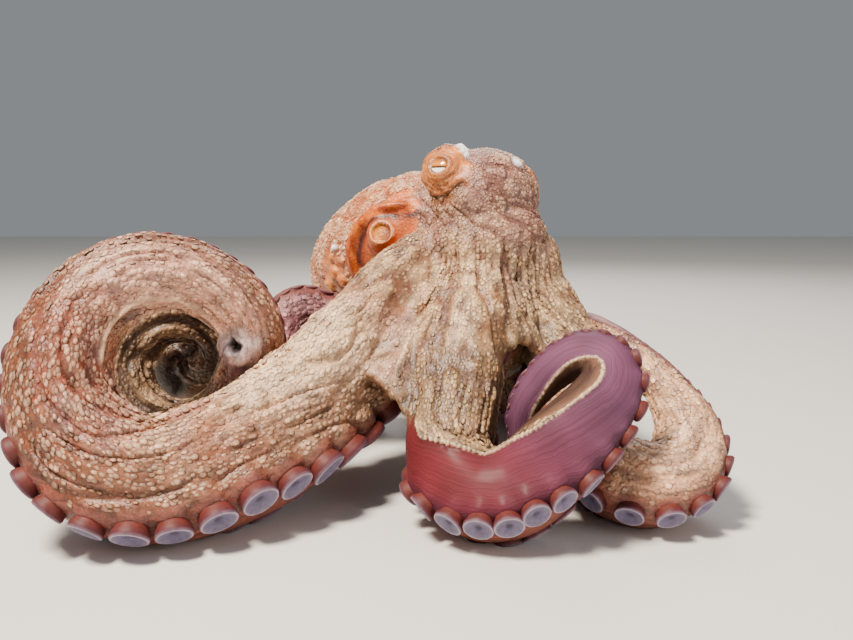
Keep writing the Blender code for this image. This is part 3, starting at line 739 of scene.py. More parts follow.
def points_of(target: Piece) -> Array:
    """An object's points in mm of the design frame."""
    return read(target.data.vertices, "co", 3) / MM - SHIFT


def normals_of(target: Piece) -> Array:
    """An object's outward direction at each point."""
    return read(target.data.vertex_normals, "vector", 3)


def edges_of(target: Piece) -> Array:
    """Pairs of points that an object's edges join."""
    return read(target.data.edges, "vertices", 2, np.int64)


def place_points(target: Piece, points: Array) -> None:
    """Move an object's points to new places in mm of the design frame."""
    target.data.vertices.foreach_set("co", ((points + SHIFT) * MM).ravel())
    target.data.update()


def rest_on_floor(target: Piece) -> None:
    """Press whatever lies below the floor up against it."""
    place_points(target, np.maximum(points_of(target), (-np.inf, -np.inf, FLOOR_GAP / 2)))


def tree_of(points: Array) -> KDTree:
    """A tree that finds the nearest of the points, by their numbers.

    Args:
        points: places in mm.

    Returns:
        The tree, balanced.
    """
    tree = KDTree(len(points))
    for index, point in enumerate(points.tolist()):
        tree.insert(point, index)
    tree.balance()
    return tree


def relax(points: Array, edges: Array, strength: Array, rounds: int) -> Array:
    """Draw each point towards the middle of its neighbours.

    Args:
        points: places of the points.
        edges: pairs of neighbouring points.
        strength: for each point, the share of the way that it moves in a round.
        rounds: how many times.

    Returns:
        The new places.
    """
    count = len(points)
    ends = np.concatenate((edges[:, 0], edges[:, 1]))
    others = np.concatenate((edges[:, 1], edges[:, 0]))
    neighbours = np.maximum(np.bincount(ends, minlength=count), 1)
    for _ in range(rounds):
        middle = np.column_stack([np.bincount(ends, points[others, axis], count)
                                  for axis in range(3)]) / neighbours[:, None]
        points = points + strength[:, None] * (middle - points)
    return points


def store(target: Piece, name: str, kind: str, values: Array) -> None:
    """Keep a value for each point as an attribute that the material reads.

    Args:
        target: the object.
        name: the attribute's name.
        kind: FLOAT, FLOAT_VECTOR or FLOAT_COLOR.
        values: one value or row for each point.
    """
    field = {"FLOAT": "value", "FLOAT_VECTOR": "vector", "FLOAT_COLOR": "color"}[kind]
    if kind == "FLOAT_COLOR":
        values = np.column_stack((values, np.ones(len(values))))
    made = target.data.attributes.new(name, kind, "POINT")
    made.data.foreach_set(field, np.asarray(values, np.float32).ravel())


# ---- where each point of skin is

@dataclass
class Survey:
    """Where each point of the skin lies on the animal.

    Attributes:
        arm: number of the nearest arm in ARMS.
        along: distance from that arm's root, in mm.
        turn: angle round the arm from the middle of its back; half a turn at the suckers.
        around: the same as a distance on the skin, in mm.
        apart: how much nearer that arm is than the next one, in mm.
        mantle: 1 on the mantle and 0 off it.
        head: 1 on the head and 0 off it.
    """

    arm: Array
    along: Array
    turn: Array
    around: Array
    apart: Array
    mantle: Array
    head: Array

    @classmethod
    def of(cls, points: Array) -> "Survey":
        """Survey a set of points.

        Args:
            points: places in mm of the design frame.

        Returns:
            The survey, with one value for each point in every field.
        """
        best = np.full(len(points), 1e9)
        second = best.copy()
        found = {name: np.zeros(len(points)) for name in ("arm", "along", "turn", "around")}
        for number, arm in enumerate(ARMS):
            line = LINES[arm.name]
            score, near = cls.nearest(points, line)
            closer = score < best
            second = np.where(closer, best, np.minimum(second, score))
            best = np.where(closer, score, best)
            near = near[closer]
            offset = points[closer] - line.points[near]
            toward, side = (np.sum(offset * axis[near], axis=1)
                            for axis in (line.mouthward, line.sideways))
            depth, width = line.depth[near], line.width[near]
            turn = np.arctan2(side / width, -toward / depth)
            found["arm"][closer] = number
            found["along"][closer] = (line.marks[near] + np.sum(offset * line.tangent[near], axis=1))
            found["turn"][closer] = turn
            found["around"][closer] = turn * (depth + width) / 4
        head, mantle = cls.regions(points)
        return cls(apart=second - best, head=head, mantle=mantle, **found)

    @staticmethod
    def nearest(points: Array, line: ArmLine) -> tuple[Array, Array]:
        """How far each point is from an arm's skin, and the nearest mark of its line.

        Args:
            points: places in mm.
            line: the arm's line.

        Returns:
            The distance in mm and the mark for each point.
        """
        step, batch = 2, 20000
        centres = line.points[::step]
        radii = 0.9 * (line.depth + line.width)[::step] / 4
        squares = np.sum(centres ** 2, axis=1)
        score, near = np.empty(len(points)), np.empty(len(points), np.int64)
        for start in range(0, len(points), batch):
            part = points[start:start + batch]
            away = np.sum(part ** 2, axis=1)[:, None] - 2 * part @ centres.T + squares
            away = np.sqrt(np.maximum(away, 0)) - radii
            chosen = away.argmin(axis=1)
            near[start:start + batch] = chosen * step
            score[start:start + batch] = away[np.arange(len(part)), chosen]
        return score, near

    @staticmethod
    def regions(points: Array) -> tuple[Array, Array]:
        """How much each point belongs to the head and to the mantle.

        Args:
            points: places in mm.

        Returns:
            Shares from 0 to 1, for the head and for the mantle.
        """
        off_head = np.min([form.beyond(points) for form in BODY.head_forms()], axis=0)
        off_mantle = np.min([form.beyond(points) for form in BODY.mantle_forms()], axis=0)
        behind = (points - MANTLE_PLANE[0]) @ MANTLE_PLANE[1]
        mantle = ramp(behind, -6, 4) * ramp(off_mantle, 9, 4)
        level = points[:, 2] + 14 * drift(points / 9, SEED + 21)
        head = ramp(level, 120, 154) * ramp(off_head, 8, 4) * (1 - mantle)
        return head, mantle

    def on(self, name: str) -> Array:
        """Which points are on the arm of that name."""
        return self.arm == [arm.name for arm in ARMS].index(name)


# ---- textures of the skin

@dataclass(frozen=True)
class Texture:
    """How one stretch of skin is swollen, creased, beaded and coloured.

    Attributes:
        swell: mm from one low swelling to the next, along and across the arm, or in space.
        relief: height of the swellings in mm.
        crease: mm from crease to crease.
        depth: depth of the creases in mm.
        valley: colour of the creases and between the papillae.
        top: colour of the papillae.
        blotch: colour of the larger patches.
        bead: mm from papilla to papilla, along and across the arm, or in space.
        bead_height: how far a papilla stands out in mm.
    """

    swell: tuple
    relief: float
    crease: tuple
    depth: float
    # valley: colour of the creases and between the papillae, partly the skin's own darker tone and
    # partly painted shade. top: colour of the papillae and the crests of swellings, partly their own
    # paler tone and partly painted highlight.
    valley: str
    top: str
    blotch: str
    bead: tuple
    bead_height: float
    blotch_size: float = 15.0
    blotch_share: float = 0.6

    def raised(self, places: Array, seed: int) -> tuple[Array, Array]:
        """How far the skin stands out in mm, and how far each point is from the creases.

        Args:
            places: where the points lie, in mm, along and around or in space.
            seed: of the noise.

        Returns:
            The height in mm, and 1 on a crest to 0 in a crease.
        """
        near, chance = cells(places / np.array(self.swell), seed)
        middle = np.abs(2 * drift(places / np.array(self.crease), seed + 7) - 1)
        dome = np.sqrt(np.clip(1 - (near / 0.7) ** 2, 0, 1)) * (0.45 + 0.55 * chance)
        crease = ramp(1 - middle, 0.70, 0.95)
        return self.relief * dome - self.depth * crease, dome * (1 - 0.9 * crease)

    def coloured(self, height: Array, points: Array, seed: int) -> Array:
        """The colour of each point, from how high it stands.

        Args:
            height: 1 on a crest to 0 in a crease.
            points: places in mm.
            seed: of the noise.

        Returns:
            One colour for each point.
        """
        valley, top, blotch = (np.array(linear_rgb(code))
                               for code in (self.valley, self.top, self.blotch))
        # Crests take the top colour and creases the valley colour: the skin's own pattern, together
        # with painted highlight on the swellings and painted shade in the creases.
        colour = mix(valley, top, np.clip(height * 0.60, 0, 1))
        cloud = ramp(drift(points / self.blotch_size, seed + 3), 0.45, 0.68)
        fleck = 0.6 + 0.4 * drift(points / 2.3, seed + 4)
        return mix(colour, blotch, cloud * fleck * self.blotch_share)


HEAD_SKIN = Texture((4.4, 4.4, 4.0), 0.65, (13, 13, 7), 1.1, "#603626", "#ecbc9c", "#8a5850",
                    (1.8, 1.8, 1.8), 0.45)
MANTLE_SKIN = Texture((4.6, 4.6, 4.2), 0.75, (15, 15, 9), 0.9, "#a4501e", "#ffdcb8", "#d8814c",
                      (2.4, 2.4, 2.4), 0.60, 15.0, 0.4)
CROWN_SKIN = Texture((9.0, 3.8), 1.0, (34, 4.6), 1.9, "#6c402a", "#ffd8a6", "#9e6c48", (2.6, 1.9), 0.45)
BACK_SKIN = Texture((12, 3.8), 1.1, (34, 4.8), 1.9, "#442a1c", "#e8be8c", "#7c5a3c", (2.9, 1.8), 0.50)
BEAD_SKIN = Texture((8.5, 3.8), 1.1, (36, 5.6), 1.6, "#7c4028", "#ffd8b4", "#a86048", (3.0, 1.9), 0.50)
LATTICE_SKIN = Texture((4.4, 3.6), 0.7, (30, 6.5), 0.6, "#9c5c38", "#ffdab8", "#cc9064",
                       (2.7, 2.2), 0.35)
STREAK_SKIN = Texture((26.0, 4.6), 1.4, (60, 6.8), 2.8, "#38241a", "#d0a67c", "#70563e",
                      (3.0, 1.9), 0.50)
MAUVE_SKIN = Texture((8.0, 5.0), 0.6, (26, 8), 0.6, "#7a4450", "#d0a0a0", "#94606c", (3.2, 2.6), 0.5)
PLAIN_SKIN = Texture((8.0, 6.0), 0.7, (26, 9), 0.6, "#8e5a40", "#e8b690", "#a8765a", (3.4, 2.6), 0.45)

TEXTURES = [HEAD_SKIN, MANTLE_SKIN, CROWN_SKIN, BACK_SKIN, BEAD_SKIN, LATTICE_SKIN,
            STREAK_SKIN, MAUVE_SKIN, PLAIN_SKIN]
ARM_SKINS = {"arm_right1": BACK_SKIN, "arm_right2": BEAD_SKIN, "arm_left1": LATTICE_SKIN,
             "arm_right3": MAUVE_SKIN}


@dataclass(frozen=True)
class Spot:
    """A lump or a patch of colour of its own."""

    place: tuple                 # mm
    radius: float                # mm
    height: float                # mm that it stands out, or lies in
    colour: str
    strength: float = 0.9        # share of the colour in its middle

    def share(self, points: Array) -> Array:
        """1 in the middle of the spot and 0 past its ragged edge."""
        away = np.linalg.norm(points - np.array(self.place), axis=1)
        ragged = self.radius * (0.72 + 0.5 * drift(points / 3.1, SEED + 41))
        return ramp(away / ragged, 1.1, 0.55)


SPOTS = (
    Spot((20, -5, 182), 5.4, 0.9, "#ffffff", 1.0),     # white patch over the near eye
    Spot((21.5, -7, 178), 2.6, 0.4, "#ffffff"),
    Spot((51, -1, 174), 5.2, 0.9, "#ffffff", 1.0),     # white patch over the far eye
    Spot((-58, 54, 108), 15.0, 0.0, "#c4703a", 0.7),   # orange wash low on the mantle
    Spot((-57, 52, 108), 5.0, 2.4, "#e0801e"),         # orange lumps on it
    Spot((-51, 48, 103), 4.8, 2.4, "#d8761e"),
    Spot((-62, 62, 98), 5.6, 2.2, "#de8830"),
    Spot((-58, 54, 116), 4.0, 1.8, "#dc8238"),
    Spot((-50, 45, 115), 3.6, 1.8, "#d07028"),
    Spot((-55, 49, 123), 2.6, 2.6, "#ffffff", 1.0),    # a white papilla of the mantle
    Spot((-15, 23, 149), 12.0, 0.5, "#dc6e2a"),        # orange skin beside the head
    Spot((-12, 14, 139), 8.5, 0.3, "#c86628"),
    Spot((-12, 20, 152), 2.8, -0.8, "#962a18"),        # red flecks on it
    Spot((-18, 23, 154), 2.2, -0.8, "#a03418"),
    Spot((-9, 16, 146), 2.4, -0.6, "#8e2c18"),
    Spot((-93, -57, 79), 13.5, 0.0, "#d2bcba", 0.95),  # pale curled tip in the coil
    Spot((-101, -52, 72), 9.0, 0.3, "#a46a74", 0.75),
    Spot((-92, -54, 67), 6.0, 0.0, "#6a4c5c", 0.7),
    Spot((-96, -61, 81), 7.5, 1.4, "#c8b4bc", 0.8),    # its sucker
    # Painted shade inside the coil's far turn, near black.
    Spot((-150, 8, 50), 15.0, 0.0, "#20140e", 0.85),   # the dark inside of the coil's far turn
    # The sucker's hollow is pressed in and painted near black as the shade inside it.
    Spot((-97.5, -61, 82.5), 3.8, -4.0, "#160e12", 1.0),   # the hollow of the sucker
    Spot((-94.5, -61, 80), 4.2, -4.0, "#160e12", 1.0),
)


@dataclass(frozen=True)
class Wash:
    """A tint laid over a stretch of one arm."""

    arm: str
    starts: float                # mm from the arm's root
    ends: float
    colour: str
    strength: float
    fade: float = 40.0           # mm over which it comes and goes

    def share(self, survey: Survey) -> Array:
        """1 in the middle of the stretch and 0 outside it."""
        rising = ramp(survey.along, self.starts, self.starts + self.fade)
        return survey.on(self.arm) * rising * ramp(survey.along, self.ends, self.ends - self.fade)


WASHES = (
    Wash("arm_right2", 60, 190, "#ffdcb0", 0.50),    # pale shoulder over the web
    Wash("arm_right2", 160, 270, "#d8a078", 0.28),
    # The ruddy far side of the coil is partly the arm's own red tone and partly painted shadow.
    Wash("arm_right2", 210, 350, "#78301c", 0.72),   # ruddy far side of the coil
    Wash("arm_right2", 318, 450, "#ffc4ac", 0.50),   # pink top of the coil
    Wash("arm_right1", 45, 125, "#5c4028", 0.55),    # shaded foot of the front arm
    Wash("arm_left1", 110, 350, "#ffd0a8", 0.34),
)


@dataclass(frozen=True)
class Eyelids:
    """The lids of one eye, a slit with a swollen rim and wrinkles round it."""

    centre: Vector
    out: Vector
    opening: tuple = (4.8, 3.9)      # half length and half height of the slit, mm
    raised: float = 3.6              # how far the slit lies over the ball's middle, mm
    under: float = 8.7               # skin below the ball's surface, from its middle
    rim: float = 11.5                # outside of the rim, from the ball's middle
    wave: float = 0.62               # from one wrinkle to the next, in sizes of the slit
    fold: float = 16.5               # the fold under the lids, from the ball's middle

    def seen(self, points: Array) -> tuple[Array, ...]:
        """Distance from the ball's middle, its direction, and the place in the slit.

        Args:
            points: places in mm.

        Returns:
            These, and the height over the ball's middle, for each point.
        """
        out = np.array(self.out)
        level = unit(np.cross((0, 0, 1), out))
        upright = np.cross(out, level)
        offset = points - np.array(self.centre)
        away = np.linalg.norm(offset, axis=1)
        across, up = offset @ level, offset @ upright
        slit = np.hypot(across / self.opening[0], (up - self.raised) / self.opening[1])
        slit = np.where(offset @ out > 0, slit, 9)
        return away, offset / away[:, None], slit, up

    def wrinkles(self, points: Array, slit: Array) -> Array:
        """Wavering rings round the slit, from -1 in a furrow to 1 on a crest."""
        waver = slit + 0.5 * drift(points / 4, SEED + 53)
        return np.sin(waver * 2 * math.pi / self.wave)

    def shape(self, points: Array) -> Array:
        """The points moved to make the slit, its rim and the wrinkles.

        Args:
            points: places in mm.

        Returns:
            The new places.
        """
        away, direction, slit, up = self.seen(points)
        near = ramp(away, 19, 15)
        rim = self.rim + 0.35 * np.cos((slit - 1.35) * 2 * math.pi / 0.42) * ramp(slit, 3.2, 1.5)
        lidded = np.where(slit < 1.18, self.under + (rim - self.under) * ramp(slit, 0.86, 1.18), rim)
        share = ramp(slit, 2.9, 1.5) * near
        wanted = away * (1 - share) + np.minimum(lidded, away + 3) * share
        fold = np.exp(-((away - self.fold) / 1.8) ** 2) * ramp(up, -3, -8)
        wrinkle = 0.34 * self.wrinkles(points, slit) * ramp(away, 19, 16) * (slit > 1.8)
        return points + direction * (wanted - away - 1.9 * fold + wrinkle)[:, None]

    def bare(self, points: Array) -> Array:
        """1 where the lids are too smooth for papillae."""
        away, _, slit, _ = self.seen(points)
        return ramp(away, 18, 15) * (slit < 9)

    def paint(self, points: Array, colours: Array) -> Array:
        """The colours with the lids and the wrinkles, and painted shade along the slit's edge and in
        the fold under the lids.

        Args:
            points: places in mm.
            colours: the colours so far.

        Returns:
            The new colours.
        """
        away, _, slit, up = self.seen(points)
        turret = ramp(away, 21, 15) * (slit < 9)
        ring = 0.5 + 0.5 * self.wrinkles(points, slit)
        warm = np.array(linear_rgb("#9a4c0e"))
        lids = tint(warm, "#f4a45c", ring * (0.25 + 0.6 * drift(points / 3, SEED + 51)))
        lids = tint(lids, "#f08a18", ramp(drift(points / 5, SEED + 52), 0.5, 0.7) * 0.8)
        colours = mix(colours, lids, turret * 0.85)
        # A dark line along the slit's edge, where lid meets ball, and a dark band in the fold under the
        # lids are painted shade.
        edge = np.exp(-((slit - 1.0) / 0.22) ** 2)
        fold = np.exp(-((away - self.fold) / 2.0) ** 2) * ramp(up, -3, -8)
        return tint(colours, "#2a1a16", np.clip(edge * 0.8 + fold * 0.85, 0, 1))


@dataclass(frozen=True)
class Siphon:
    """The funnel's bulb and mouth, with the swollen edge of the mantle round it."""

    bore: float = 6.3            # radius of the opening, mm
    bore_depth: float = 2.2

    @staticmethod
    def axis() -> Array:
        """The unit direction of the funnel's tube."""
        return unit(np.array(BODY.funnel_mouth) - np.array(BODY.funnel_centre))

    def mouth(self, points: Array) -> tuple[Array, Array]:
        """Distance from the axis of the funnel's tube, and distance short of its end."""
        axis = self.axis()
        offset = points - np.array(BODY.funnel_mouth)
        along = offset @ axis
        return np.linalg.norm(offset - np.outer(along, axis), axis=1), along

    def edges(self, points: Array) -> tuple[Array, Array]:
        """Distance from the lip's middle line, and whether a point is on its inner side.

        Args:
            points: places in mm.

        Returns:
            The distance in mm, and 1 on the inner side, for each point.
        """
        path = BODY.lip_path()[::2]
        centre = np.array(BODY.funnel_centre)
        away = np.full(len(points), 99.0)
        inner = np.zeros(len(points))
        close = np.linalg.norm(points - centre, axis=1) < 60
        gaps = np.linalg.norm(points[close][:, None, :] - path[None], axis=2)
        nearest = gaps.argmin(axis=1)
        away[close] = gaps.min(axis=1)
        reach = np.linalg.norm(path[nearest] - centre, axis=1)
        inner[close] = np.linalg.norm(points[close] - centre, axis=1) < reach
        return away, inner

    def shape(self, points: Array) -> Array:
        """The points moved to open the funnel's mouth."""
        radius, along = self.mouth(points)
        inside = ramp(radius, self.bore, self.bore - 1.6) * (np.abs(along) < 5)
        rim = np.exp(-((radius - self.bore - 0.5) / 0.7) ** 2) * (np.abs(along) < 4)
        return points + self.axis() * (0.6 * rim - self.bore_depth * inside)[:, None]

    def paint(self, before: Array, colours: Array) -> Array:
        """The colours with the bulb, its mouth, the lip and the groove between them, with painted shade
        in the mouth and in the groove.

        Args:
            before: the points before the mouth was opened.
            colours: the colours so far.

        Returns:
            The new colours.
        """
        radius, along = self.mouth(before)
        lip, inner = self.edges(before)
        bulb = BODY.funnel_form().beyond(before)
        on_bulb = ramp(bulb, 16.0, 11.0) * ramp(lip, 3.8, 5.4) * np.maximum(inner, ramp(bulb, 3.0, 1.0))
        on_tube = ramp(radius, 13, 9) * (np.abs(along) < 12)
        codes = {"bulb": "#ac4408", "pale": "#d06c2c", "mouth": "#d07c10", "deep": "#7e3c08",
                 "rim": "#e8b08a", "lip": "#983800", "crest": "#d46a10", "groove": "#420f0a"}
        tone = {name: np.array(linear_rgb(code)) for name, code in codes.items()}
        cloud = drift(before / 6, SEED + 61)
        colours = mix(colours, mix(tone["bulb"], tone["pale"], cloud),
                      np.maximum(on_bulb, on_tube) * ramp(lip, 3.6, 5.0))
        rim = np.exp(-((radius - self.bore - 0.3) / 0.45) ** 2) * (np.abs(along) < 2)
        colours = mix(colours, tone["rim"], rim)
        inside = ramp(radius, self.bore + 0.2, self.bore - 0.6) * (np.abs(along) < 5)
        # The inside of the mouth is painted darker towards +X, as the shade on that side.
        shaded = ramp(before[:, 0], BODY.funnel_mouth[0] - 2, BODY.funnel_mouth[0] + 3)
        colours = mix(colours, mix(tone["mouth"], tone["deep"], shaded), inside)
        # The groove between the lip and the bulb is painted dark red-brown as shade.
        groove = ramp(lip, 9.0, 7.0) * ramp(lip, 4.2, 5.2) * inner * ramp(bulb, 19, 14)
        colours = mix(colours, tone["groove"], groove * (1 - inside))
        crest = mix(tone["lip"], tone["crest"], ramp(drift(before / 3, SEED + 62), 0.3, 0.7))
        return mix(colours, crest, ramp(lip, 6.4, 4.6) * (1 - groove))


@dataclass(frozen=True)
class Keel:
    """A thin raised ridge that runs along an arm."""

    arm: str
    starts: float                # mm from the arm's root
    ends: float
    turn: float                  # where round the arm it runs
    height: float = 1.2
    half_width: float = 0.62     # mm
    colour: str = "#f2d6ac"
    scallop: float = 0.0         # mm from one scallop of its edge to the next, or none
    taper: float = 14.0          # mm over which it rises and dies away

    def share(self, survey: Survey) -> Array:
        """1 on the ridge and 0 away from it.

        Args:
            survey: where the points lie on the animal.

        Returns:
            A share for each point.
        """
        here = survey.on(self.arm) * ramp(survey.along, self.starts, self.starts + self.taper)
        here = here * ramp(survey.along, self.ends, self.ends - self.taper)
        turn = np.where(np.abs(survey.turn) < 1e-6, 1e-6, survey.turn)
        aside = survey.around - self.turn * survey.around / turn
        if self.scallop:
            here = here * (0.3 + 0.7 * np.abs(np.sin(survey.along * math.pi / self.scallop)))
        return here * np.exp(-(aside / self.half_width) ** 2) * (survey.turn * self.turn > 0)


# Stretches in mm from the root over which the second right arm's inner wall and last turns take
# on their streaks, and over which the first right arm's tip loses its papillae.
COIL_WALL, COIL_TURNS, BARE_TIP = (285, 330), (455, 475), (300, 320)

FLANK_KEEL = Keel("arm_right1", 100, 400, -0.62)
COIL_KEEL = Keel("arm_right2", 290, 470, -0.15, 1.6, 1.6, "#f0c8a4")
FLANK_FRINGE = Keel("arm_right1", 225, 340, -2.3, 1.4, 1.4, "#3c1a2e", 9.0)


@dataclass(frozen=True)
class FlatFlank:
    """The smooth purple side of the first right arm, which a pale keel bounds."""

    keel: Keel = FLANK_KEEL

    def share(self, survey: Survey) -> Array:
        """How much each point belongs to the flank."""
        keel, turn = self.keel, survey.turn
        here = survey.on(keel.arm) * ramp(survey.along, keel.starts, keel.starts + keel.taper)
        return here * ramp(turn, keel.turn, keel.turn - 0.05) * ramp(turn, -2.7, -2.4)

    def slot(self, survey: Survey) -> Array:
        """How much each point belongs to the bare wall that the arm's bend encloses."""
        here = survey.on(self.keel.arm) * ramp(survey.along, 165, 190)
        edge = self.keel.turn + 0.14 * ramp(survey.along, 215, 190)
        return here * ramp(survey.turn - edge, 0.0, 0.05)

    def paint(self, survey: Survey, points: Array, colours: Array) -> Array:
        """The colours with the flank.

        Args:
            survey: where the points lie on the animal.
            points: places in mm.
            colours: the colours so far.

        Returns:
            The new colours.
        """
        start, maroon = self.keel.starts, np.array(linear_rgb("#5a181c"))
        toned = tint(maroon, "#5e1e2a", ramp(survey.along, start, start + 80))
        toned = tint(toned, "#623e58", ramp(survey.along, start + 60, start + 130) * 0.85)
        toned = tint(toned, "#3a1c30", ramp(survey.turn, -1.7, -2.3) * 0.6)
        cloud = 0.75 + 0.5 * drift(points / 9, SEED + 71)
        return mix(colours, toned * cloud[:, None], self.share(survey))


@dataclass(frozen=True)
class SuckerRows:
    """Where the two alternating rows of suckers stand on every arm.

    Attributes:
        pitch: mm along the arm for each mm of diameter.
        smallest: diameter of the last suckers in mm.
        stalked_from: suckers this wide or more stand on a swelling of the skin.
        foot: where a sucker starts, in shares of the arm's depth and width.
        rim: where its rim is, likewise.
        proud: how far the rim stands out beyond that, in diameters.
        thick: height of the cup itself in diameters.
        sunk: how much deeper the last suckers lie, in shares of the arm's depth and width.
        sinking: mm of arm over which they go in.
        tip: mm at an arm's end that bear none.
        stretches: least and most that a bend may spread them.
    """

    pitch: float = 0.47
    smallest: float = 1.8
    stalked_from: float = 5.0
    foot: tuple = (0.16, 0.28)
    rim: tuple = (0.385, 0.35)
    proud: float = 0.10
    thick: float = 0.30
    sunk: float = 0.09
    sinking: float = 30.0
    tip: float = 3.0
    stretches: tuple = (0.9, 2.0)

    def of_arm(self, line: ArmLine) -> list[tuple]:
        """Foot, rim centre, arm direction, diameter and sinking of each sucker of an arm, which also
        sets its painted shade.

        Args:
            line: the arm's line.

        Returns:
            These five values for each sucker, root first.
        """
        rows = []
        edge = line.points + line.mouthward * line.depth[:, None] * self.rim[0]
        stretch = np.linalg.norm(np.gradient(edge, axis=0), axis=1).clip(*self.stretches)
        mark, side = line.arm.suckers_from, 1
        while mark < line.length - self.tip:
            centre, tangent, mouthward, sideways, depth, width = line.at(mark)
            diameter = max(depth * line.arm.sucker_share, self.smallest)
            # Suckers past sunk_from lie deeper, and the same share paints them darker: partly their own
            # maroon, partly painted shade.
            dull = float(ramp(np.array(mark), line.arm.sunk_from, line.arm.sunk_from + self.sinking))
            sunk = self.sunk * dull
            foot = (centre + mouthward * depth * (self.foot[0] - sunk)
                    + sideways * side * width * (self.foot[1] - sunk))
            rim = (centre + mouthward * (depth * (self.rim[0] - sunk / 2) + self.proud * diameter)
                   + sideways * side * (width * (self.rim[1] - sunk) + self.proud * diameter))
            rows.append((foot, rim, tangent, diameter, dull))
            mark += self.pitch * diameter / stretch[int(mark)]
            side = -side
        return rows

    def all(self) -> tuple[Array, ...]:
        """The same for the suckers of every arm, as arrays."""
        rows = [row for line in LINES.values() for row in self.of_arm(line)]
        return tuple(np.array(column) for column in zip(*rows))

    def stalks(self) -> list[Shape]:
        """Points and faces of the swelling of the skin under each large sucker.

        Returns:
            One shape for each.
        """
        shapes = []
        for foot, rim, _, diameter, _ in zip(*self.all()):
            if diameter >= self.stalked_from:
                seat = rim - unit(rim - foot) * diameter * self.thick * 1.1
                path = foot + np.outer((0, 0.6, 1.0), seat - foot)
                shapes.append(swept(path, diameter * np.array((0.54, 0.50, 0.43)), 16))
        return shapes

    def closeness(self, points: Array, near: Array) -> Array:
        """How close each chosen point is to a sucker's rim, from 0 to 1.

        Args:
            points: places in mm.
            near: which points may be close to one.

        Returns:
            A share for each point.
        """
        _, rims, _, diameter, _ = self.all()
        tree = tree_of(rims)
        share = np.zeros(len(points))
        chosen = np.flatnonzero(near)
        found = [tree.find(point) for point in points[chosen].tolist()]
        away = np.array([gap / diameter[index] for _, index, gap in found])
        share[chosen] = ramp(away, 0.95, 0.55)
        return share


SUCKER_ROWS = SuckerRows()

# ---- the skin itself

